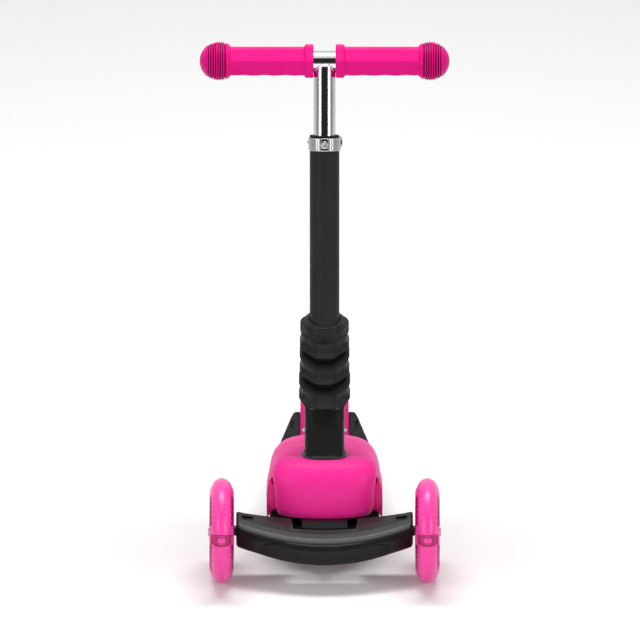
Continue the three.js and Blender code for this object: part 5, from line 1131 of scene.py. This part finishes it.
def deck_pads():
    """The grip pads: half boards beside the strip, their outer edge on the deck's, each with a slit."""
    y = places(PAD_START, DECK_REAR - 0.4, 1.5, [SLIT_FRONT, SLIT_REAR], 0.15)
    outer = deck_half_width(np.minimum(y, DECK_REAR - 2)) - 0.2
    inner = SPINE_HALF_W + GAP
    slit_x = float(deck_half_width(np.array([273.0]))[0]) - 4.2
    low, high = DECK_TOP + GAP, DECK_TOP + PAD_T
    fade = np.clip((DECK_REAR - y) / 6, 0.12, 1)[:, None] ** 0.5
    wide = np.maximum(outer - inner, 2.2)[:, None]
    cuts = [slit_x + k - inner for k in (-2.35, -2.05, -0.15, 0.15)]
    columns = np.sort(np.concatenate([places(0, 1, 0.05) * 40, cuts]))
    x_top = inner + PAD_INNER_EDGE + np.clip(columns[None], 0, wide - 2.0)
    along_slit = (y[:, None] > SLIT_FRONT) & (y[:, None] < SLIT_REAR)
    z_top = low + (high - low) * fade - SLIT_W * ((x_top > slit_x - SLIT_W) & (x_top < slit_x) & along_slit)
    arc = np.linspace(0, math.pi / 2, 5)
    edge_x = inner + wide - PAD_EDGE + PAD_EDGE * np.sin(arc)
    edge_z = low + ((high - low) * fade - PAD_EDGE * fade + PAD_EDGE * fade * np.cos(arc))
    back = arc[::-1]
    close_x = inner + PAD_INNER_EDGE - PAD_INNER_EDGE * np.sin(back) + 0 * wide
    close_z = low + (high - low) * fade - PAD_INNER_EDGE * fade + PAD_INNER_EDGE * fade * np.cos(back)
    x = np.concatenate([close_x, x_top, edge_x, inner + wide, inner + 0 * wide], 1)
    z = np.concatenate([close_z, z_top, edge_z, low + 0 * wide, low + 0 * wide], 1)
    grid = np.stack([x, np.repeat(y[:, None], x.shape[1], 1), z], -1)
    for side, name in ((-1, "left"), (1, "right")):
        piece(f"pad_{name}", Skin().tube(grid * [side, 1, 1]), "deck", pad_black,
              (f"deck_pad_{name}",), 45)


def deck_spine():
    """The pink strip: a chamfered section carried back along the deck, with two ears for the fender's pin."""
    y, side_inset, top_inset = SPINE_ROWS.T
    half_w = np.interp(y, [150, 338, 360], [SPINE_HALF_W, SPINE_HALF_W, SPINE_END_HALF_W]) - side_inset
    top, low = SPINE_TOP - top_inset, DECK_TOP + GAP
    foot, brow = np.full(len(y), low), top - SPINE_CHAMFER
    corners = ((-1, 0, foot), (1, 0, foot), (1, 0, brow), (1, SPINE_CHAMFER, top), (-1, SPINE_CHAMFER, top),
               (-1, 0, brow))
    ring = [np.stack([sx * (half_w - inset), level], -1) for sx, inset, level in corners]
    ring = rounded(np.stack(ring, 1), 0.8, 3)
    skin = Skin().tube(np.stack([ring[..., 0], np.repeat(y[:, None], ring.shape[1], 1), ring[..., 1]], -1))
    turn = np.radians(np.linspace(-100, 100, 21))
    eye = np.column_stack([PIN_Y + EAR_R * np.cos(turn), PIN_Z + EAR_R * np.sin(turn)])
    ear = np.concatenate([[[355, low], [363, low]], eye, [[355, 75.4]]])
    for side in (-1, 1):
        skin.tube(slab(ear, EAR_INNER, EAR_OUTER, 0.6, "x") * [side, 1, 1])
    piece("spine_strip", skin, "deck", spine_pink_painted_shade, ("deck_spine",), 40)


# Axle beam

# The beam's section in front and behind: shares of its nose's depth and of its height
BEAM_FRONT = [[0.4, 0], [0.16, 0.03], [0.02, 0.2], [-0.06, 0.5], [0.0, 0.62], [0.12, 0.74], [0.34, 0.84],
              [0.68, 0.92], [1.1, 0.975]]
BEAM_REAR = [[-0.07, 1], [0, 0.88], [0, 0.3], [-0.4, 0.04]]
BEAM_ROUNDINGS = np.array([3, 4, 8, 12, 10, 12, 16, 24, 20, 1.4, 3, 3, 2.0])
BEAM_NOSE, BEAM_REAR_Y = 27.5, 22.5
# Top, bottom and front at the beam's ends, and how far each bows in the middle
BEAM_ENDS, BEAM_BOWS, BEAM_END_ROUND = (75, 40.4, -8), (10.5, 10, 24), 3
SLOT_X, SLOT_HALF, SLOT_Y, SLOT_SLOPE = BEAM_HALF_L - 13, 6.5, (11.25, 13.65), 0.181
NOTCH_HALF_W, NOTCH_Y, BOSS_LOW, BOSS_HIGH = 38, -4.5, 92, 106.2
# The chin: how far it stops short of the beam's end, its thickness, its ledge, and the points it lies on
CHIN_SHORT, CHIN_T, CHIN_LEDGE, CHIN_LEDGE_BOW, CHIN_POINTS, CHIN_SINK = 27, 3.2, 61, 9.7, 44, 0.6


def beam_edges(x):
    """Top, bottom and front of the beam at x: end values less a bow, 1 - (x / half length) squared."""
    bend = 1 - (x / BEAM_HALF_L) ** 2
    return [end - bow * bend for end, bow in zip(BEAM_ENDS, BEAM_BOWS)]


def beam_section(x):
    """The section at each x: the front from under to over, then the rear from over to under."""
    top, low, front = beam_edges(x)
    rows = [np.stack([front + d * BEAM_NOSE, low + h * (top - low)], -1) for d, h in BEAM_FRONT]
    rows += [np.stack([BEAM_REAR_Y + d * BEAM_NOSE + 0 * x, low + h * (top - low)], -1) for d, h in BEAM_REAR]
    return rounded(np.stack(rows, 1), BEAM_ROUNDINGS, 5)


def axle_beam():
    """The bowed beam, drawn in at both ends by a quarter round, with a notch behind for the yoke.

    Bosses at the ends join it as shells of their own, and each slot is a plate on its top toned near black,
    painted shade for the slot's recess.
    """
    whole = BEAM_HALF_L - BEAM_END_ROUND
    x = places(-whole, whole, 2.0, [s * SLOT_X + k * SLOT_HALF for s in (-1, 1) for k in (-1, 1)])
    arc = np.linspace(0, math.pi / 2, 6)[1:]
    ends, drawn = whole + BEAM_END_ROUND * np.sin(arc), BEAM_END_ROUND * (1 - np.cos(arc))
    inset = np.concatenate([drawn[::-1], np.zeros(len(x)), drawn])
    x = np.concatenate([-ends[::-1], x, ends])
    ring = beam_section(x)
    centre = ring.mean(1, keepdims=True)
    half = (ring.max(1) - ring.min(1))[:, None] / 2
    ring = centre + (ring - centre) * (1 - inset[:, None, None] / half)
    grid = np.stack([np.repeat(x[:, None], ring.shape[1], 1), ring[..., 0], ring[..., 1]], -1)
    notch = np.clip((NOTCH_HALF_W - np.abs(x)) / 0.5, 0, 1)[:, None]
    grid[..., 1] -= np.clip(grid[..., 1] - NOTCH_Y, 0, None) * notch
    skin = Skin().tube(grid)
    boss = rounded([[0.5, BOSS_LOW], [5.8, BOSS_LOW], [5.8, BOSS_HIGH], [0.5, BOSS_HIGH]], 0.6, 3)
    top = beam_edges(SLOT_X)[0]
    for side in (-1, 1):
        skin.tube(turned(boss[5:-5], 40, (0, 0, FRONT_R)) * [side, 1, 1])
        middle = side * SLOT_X
        edge = box_outline(middle - SLOT_HALF, middle + SLOT_HALF, SLOT_Y[0] - 0.4, SLOT_Y[1] + 0.4, 0.9)
        plate = slab(edge, top - 0.8, top + 0.35, 0.1, "z")
        # Painted shade: each slot plate carries a tone of 1.
        skin.tube(plate + (plate[..., :1] - middle) * [0, 0, side * SLOT_SLOPE], 1.0)
    piece("beam_body", skin, "front_axle", beam_body_black, ("axle_beam",), 40)


def beam_chin():
    """The crescent chin: the beam's own front grown by a thickness that fades to nothing at both ends."""
    half_l = BEAM_HALF_L - CHIN_SHORT
    x = places(-half_l + 0.3, half_l - 0.3, 1.6)
    front = beam_section(x)[:, :CHIN_POINTS]
    ledge = (CHIN_LEDGE - CHIN_LEDGE_BOW * (x / half_l) ** 2)[:, None]
    z = np.minimum(front[..., 1], ledge)
    grow = (CHIN_T * (1 - (x / half_l) ** 2))[:, None]
    low = z.min(1, keepdims=True)
    rise = np.clip((z - low) / (ledge - low), 0, 1)
    across = np.repeat(x[:, None], CHIN_POINTS, 1)
    out_y = front[..., 0] - grow * np.clip(0.1 + 2.2 * rise, 0, 1)
    out_z = z - grow * (1 - rise) ** 2 * 0.9
    outer = np.stack([across, out_y, out_z], -1)
    inner = np.stack([across, front[..., 0] + CHIN_SINK, z + CHIN_SINK * (1 - rise) - 0.2], -1)
    # Painted shadow: the chin's top edge under the ledge is toned near black for the gap.
    painted_gap_shade = np.clip(1 - (ledge - z) / 0.9, 0, 1)
    piece("beam_chin", Skin().walled(outer, inner, painted_gap_shade), "front_axle", beam_black,
          ("beam_fascia",), 50)


# Rear fender

FENDER_START, FENDER_END, FENDER_R, FENDER_HALF_W, FENDER_BEND = 15, 134, 46.6, 18.5, 4.2
FENDER_WALL, FENDER_DOME, SKIRT_R, SKIRT_LIFT = 2.6, 0.8, 37, 5.2
KNUCKLE_BORE_R, KNUCKLE_R, KNUCKLE_HALF_L, TONGUE_R, TONGUE_HALF_W = 2.3, 4.6, 11, 45.3, 10.6


def fender():
    """The fender: a rounded section carried round the rear axle, with the tongue and knuckle of its hinge."""
    degrees = np.linspace(FENDER_START, FENDER_END, 90)
    turn = np.radians(degrees)
    lifted = np.clip((degrees - 105) / 29, 0, 1) ** 2, np.clip((32 - degrees) / 17, 0, 1) ** 2
    skirt = (SKIRT_R + SKIRT_LIFT * lifted[0] + SKIRT_LIFT * lifted[1])[:, None]

    def sheet(grow):
        outer, w, bend = FENDER_R + grow, FENDER_HALF_W + grow, FENDER_BEND + grow
        arc = np.linspace(0, math.pi / 2, 8)
        side_x = np.concatenate([np.full(6, w), w - bend + bend * np.cos(arc)])
        side_r = np.concatenate([np.zeros(6), outer - bend + bend * np.sin(arc)])
        x = np.concatenate([side_x, np.linspace(w - bend, bend - w, 17)[1:-1], -side_x[::-1]])
        r = np.repeat(np.concatenate([side_r, np.full(15, outer), side_r[::-1]])[None], len(turn), 0)
        rise = skirt + (outer - bend - 0.5 - skirt) * np.linspace(0, 1, 6)[None]
        r[:, :6], r[:, -6:] = rise, rise[:, ::-1]
        r = r + FENDER_DOME * (1 - (x / w) ** 2)[None] * (r > outer - 0.01)
        return np.stack([np.repeat(x[None], len(turn), 0), REAR_AXLE_Y + r * np.cos(turn)[:, None],
                         REAR_R + r * np.sin(turn)[:, None]], -1)

    skin = Skin().walled(sheet(0.0), sheet(-FENDER_WALL))
    knuckle = ring_section(KNUCKLE_BORE_R, KNUCKLE_R, KNUCKLE_HALF_L, KNUCKLE_HALF_L, 0.5)
    skin.hoop(turned(knuckle, 40, (0, PIN_Y, PIN_Z)))
    end = math.radians(FENDER_END)
    ey, ez = REAR_AXLE_Y + TONGUE_R * math.cos(end), REAR_R + TONGUE_R * math.sin(end)
    tongue = [[367, 69.8], [ey + 4, ez], [ey + 4, ez + 4.2], [PIN_Y, 75.4]]
    skin.tube(slab(rounded(tongue, 0.8, 3), -TONGUE_HALF_W, TONGUE_HALF_W, 0.5, "x"))
    made = piece("fender_shell", skin, "fender", hood_pink, ("rear_fender",), 50)
    rolled(made, 0.6)


# Stage, lights and camera

# What the world gives to mirrors and to matt faces, and what the floor gives back to matt faces
MIRROR_WHITE, MIRROR_LEAST, FILL, FLOOR_RETURN, FLOOR_HALF = 0.9, 0.02, 0.34, 0.55, 60.0
# The view: height above level, focal length in mm, pixels of its width, scale, and the point it looks at
VIEW_UP, VIEW_LENS, VIEW_PIXELS, PIXELS_PER_METRE = math.radians(24), 1000.0, 640, 875.0
VIEW_AIM = np.array([-0.0052, -0.0947, 0.2776])


def stage():
    """A wide floor, pale to the eye and to mirrors, that gives less light back to matt faces."""
    mesh = bpy.data.meshes.new("floor")
    corners = [(x * FLOOR_HALF, y * FLOOR_HALF, 0) for x, y in ((-1, -1), (1, -1), (1, 1), (-1, 1))]
    mesh.from_pydata(corners, [], [(0, 1, 2, 3)])
    floor = bpy.data.objects.new("floor", mesh)
    bpy.context.scene.collection.objects.link(floor)
    tree = Tree("floor_pale")
    pale = tree.mixed(tree.noise(900, 2.0), (0.93, 0.93, 0.93, 1), (0.95, 0.95, 0.95, 1))
    rays = tree.nodes.new("ShaderNodeLightPath")
    tint = tree.mixed(rays.outputs["Is Diffuse Ray"], pale, (FLOOR_RETURN,) * 3 + (1.0,))
    tree.finish(tint, tree.ranged(tree.noise(400), 0.75, 0.85), tree.bumped(tree.noise(2), 0.01),
                Specular_IOR_Level=0.1)
    mesh.materials.append(tree.material)


def soft_light(name, place, aim, width, height, power):
    """An area light at a place, turned to face a point."""
    data = bpy.data.lights.new(name, "AREA")
    data.shape, data.size, data.size_y, data.energy = "RECTANGLE", width, height, power
    light = bpy.data.objects.new(name, data)
    bpy.context.scene.collection.objects.link(light)
    from_aim = np.asarray(place, float) - np.asarray(aim, float)
    light.location = place
    flat = math.hypot(from_aim[0], from_aim[1])
    light.rotation_euler = (math.atan2(flat, from_aim[2]), 0, math.atan2(from_aim[0], -from_aim[1]))


def world():
    """White to the eye. To mirrors it is white behind and above, and dark ahead like a studio's unlit end."""
    made = bpy.data.worlds.new("studio")
    made.use_nodes = True
    bpy.context.scene.world = made
    nodes, links = made.node_tree.nodes, made.node_tree.links
    nodes.clear()
    out = nodes.new("ShaderNodeOutputWorld")
    rays = nodes.new("ShaderNodeLightPath")
    place = nodes.new("ShaderNodeTexCoord")
    split = nodes.new("ShaderNodeSeparateXYZ")
    links.new(place.outputs["Generated"], split.inputs["Vector"])

    def ramp(value, low, high):
        node = nodes.new("ShaderNodeMapRange")
        node.interpolation_type = "SMOOTHSTEP"
        links.new(value, node.inputs["Value"])
        node.inputs["From Min"].default_value = low
        node.inputs["From Max"].default_value = high
        return node.outputs["Result"]

    def combined(kind, first, second):
        node = nodes.new("ShaderNodeMath")
        node.operation = kind
        for socket, value in zip(node.inputs, (first, second)):
            feed(links, socket, value)
        return node.outputs["Value"]

    ahead = ramp(split.outputs["Y"], -0.35, 0.02)
    above = ramp(split.outputs["Z"], 0.75, 0.97)
    lit = combined("MAXIMUM", ahead, above)
    mirror = combined("ADD", combined("MULTIPLY", lit, MIRROR_WHITE), MIRROR_LEAST)
    shown, seen, fill = [nodes.new("ShaderNodeBackground") for _ in range(3)]
    for node, strength in ((shown, 1.0), (fill, FILL)):
        node.inputs["Strength"].default_value = strength
    links.new(mirror, seen.inputs["Strength"])
    for node in (shown, seen, fill):
        node.inputs["Color"].default_value = (1, 1, 1, 1)
    glossy = nodes.new("ShaderNodeMixShader")
    links.new(rays.outputs["Is Glossy Ray"], glossy.inputs["Fac"])
    links.new(fill.outputs[0], glossy.inputs[1])
    links.new(seen.outputs[0], glossy.inputs[2])
    clear = combined("MAXIMUM", rays.outputs["Is Camera Ray"], rays.outputs["Is Transmission Ray"])
    final = nodes.new("ShaderNodeMixShader")
    links.new(clear, final.inputs["Fac"])
    links.new(glossy.outputs[0], final.inputs[1])
    links.new(shown.outputs[0], final.inputs[2])
    links.new(final.outputs[0], out.inputs["Surface"])


def camera():
    """A long lens far off, at the photograph's height of view, so that there is almost no perspective."""
    data = bpy.data.cameras.new("camera")
    data.sensor_width, data.lens = 36.0, VIEW_LENS
    away = VIEW_LENS / data.sensor_width * VIEW_PIXELS / PIXELS_PER_METRE
    data.clip_start, data.clip_end = 0.1, 400.0
    made = bpy.data.objects.new("camera", data)
    bpy.context.scene.collection.objects.link(made)
    made.location = VIEW_AIM + np.array([0, -math.cos(VIEW_UP), math.sin(VIEW_UP)]) * away
    made.rotation_euler = (math.pi / 2 - VIEW_UP, 0, 0)
    bpy.context.scene.camera = made


# Putting it together

SIDES = ((-1, "left"), (1, "right"))
for wheel_side, wheel_name in SIDES:
    front_tyre(wheel_side, wheel_name)
    wheel_light(wheel_side, wheel_name)
    spoked_hub(wheel_side, wheel_name)
    wheel = f"front_wheel_{wheel_name}"
    for bearing_side, bearing_name in SIDES:
        ball_bearing(f"{wheel}_bearing_{bearing_name}", wheel, (wheel_side * WHEEL_X, 0, FRONT_R),
                     bearing_side, FRONT_FACE)
    grip(wheel_side, wheel_name)
rear_wheel()
for bearing_side, bearing_name in SIDES:
    ball_bearing(f"rear_wheel_bearing_{bearing_name}", "rear_wheel", (0, REAR_AXLE_Y, REAR_R),
                 bearing_side, REAR_FACE)
cross_tube()
upright_tube()
collar()
height_button()
stem_tube()
boot()
stem_box()
hood_nose()
hood_shoulder()
deck()
deck_pads()
deck_spine()
axle_beam()
beam_chin()
fender()

# Solids that are used as they are: node, body, slot, finish and width of the rounded edges
DRESSED = [
    ("pivot_yoke", "deck", "black_plastic", shell_black, 0.8),
    ("kingpin_bolt", "deck", "steel", bolt_steel, 0.4),
    ("kingpin_washer", "deck", "steel", bolt_steel, 0.25),
    ("yoke_bolt_left", "deck", "steel", bolt_steel, 0.4),
    ("yoke_bolt_right", "deck", "steel", bolt_steel, 0.4),
    ("steering_bush_lower", "deck", "black_rubber", boot_black, 0.4),
    ("steering_bush_upper", "deck", "black_rubber", boot_black, 0.4),
    ("clamp_skewer", "deck", "steel", lever_chrome, 0.35),
    ("clamp_nut", "deck", "steel", lever_chrome, 0.5),
    ("clamp_lever", "clamp_lever", "chrome", lever_chrome, 0.6),
    ("axle_bolt_left", "front_axle", "steel", bolt_steel, 0.5),
    ("axle_bolt_right", "front_axle", "steel", bolt_steel, 0.5),
    ("rear_axle_bolt", "deck", "steel", bolt_steel, 0.5),
    ("rear_axle_nut", "deck", "steel", bolt_steel, 0.5),
    ("spine_screw_left", "deck", "steel", bolt_steel, 0.3),
    ("spine_screw_right", "deck", "steel", bolt_steel, 0.3),
    ("fender_pin", "deck", "steel", bolt_steel, 0.3),
    ("brake_plate", "fender", "steel", bolt_steel, 0.2),
]
for node, body, slot_name, used, edge in DRESSED:
    dressed(node, used, body, edge)

stood_for = {n for made in bpy.data.objects for n in made.get("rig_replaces", [])}
for node_name, node_object in NODES.items():
    if node_name not in stood_for:
        node_object.data.materials.clear()
        node_object.data.materials.append(shell_black if "bush" in node_name else bolt_steel)

stage()
soft_light("left_tall_light", (-1.75, -1.45, 1.0), (0, -0.1, 0.12), 0.8, 0.8, 13)
soft_light("right_tall_light", (1.75, -1.45, 1.0), (0, -0.1, 0.12), 0.8, 0.8, 13)
soft_light("left_low_light", (-0.5, -1.95, 0.2), (0, -0.13, 0.1), 0.4, 0.4, 4.5)
soft_light("right_low_light", (0.5, -1.95, 0.2), (0, -0.13, 0.1), 0.4, 0.4, 4.5)
soft_light("overhead_light", (0, 0.55, 2.6), (0, 0, 0), 2.2, 0.6, 56)
world()
camera()
scene = bpy.context.scene
scene.view_settings.view_transform = "Standard"
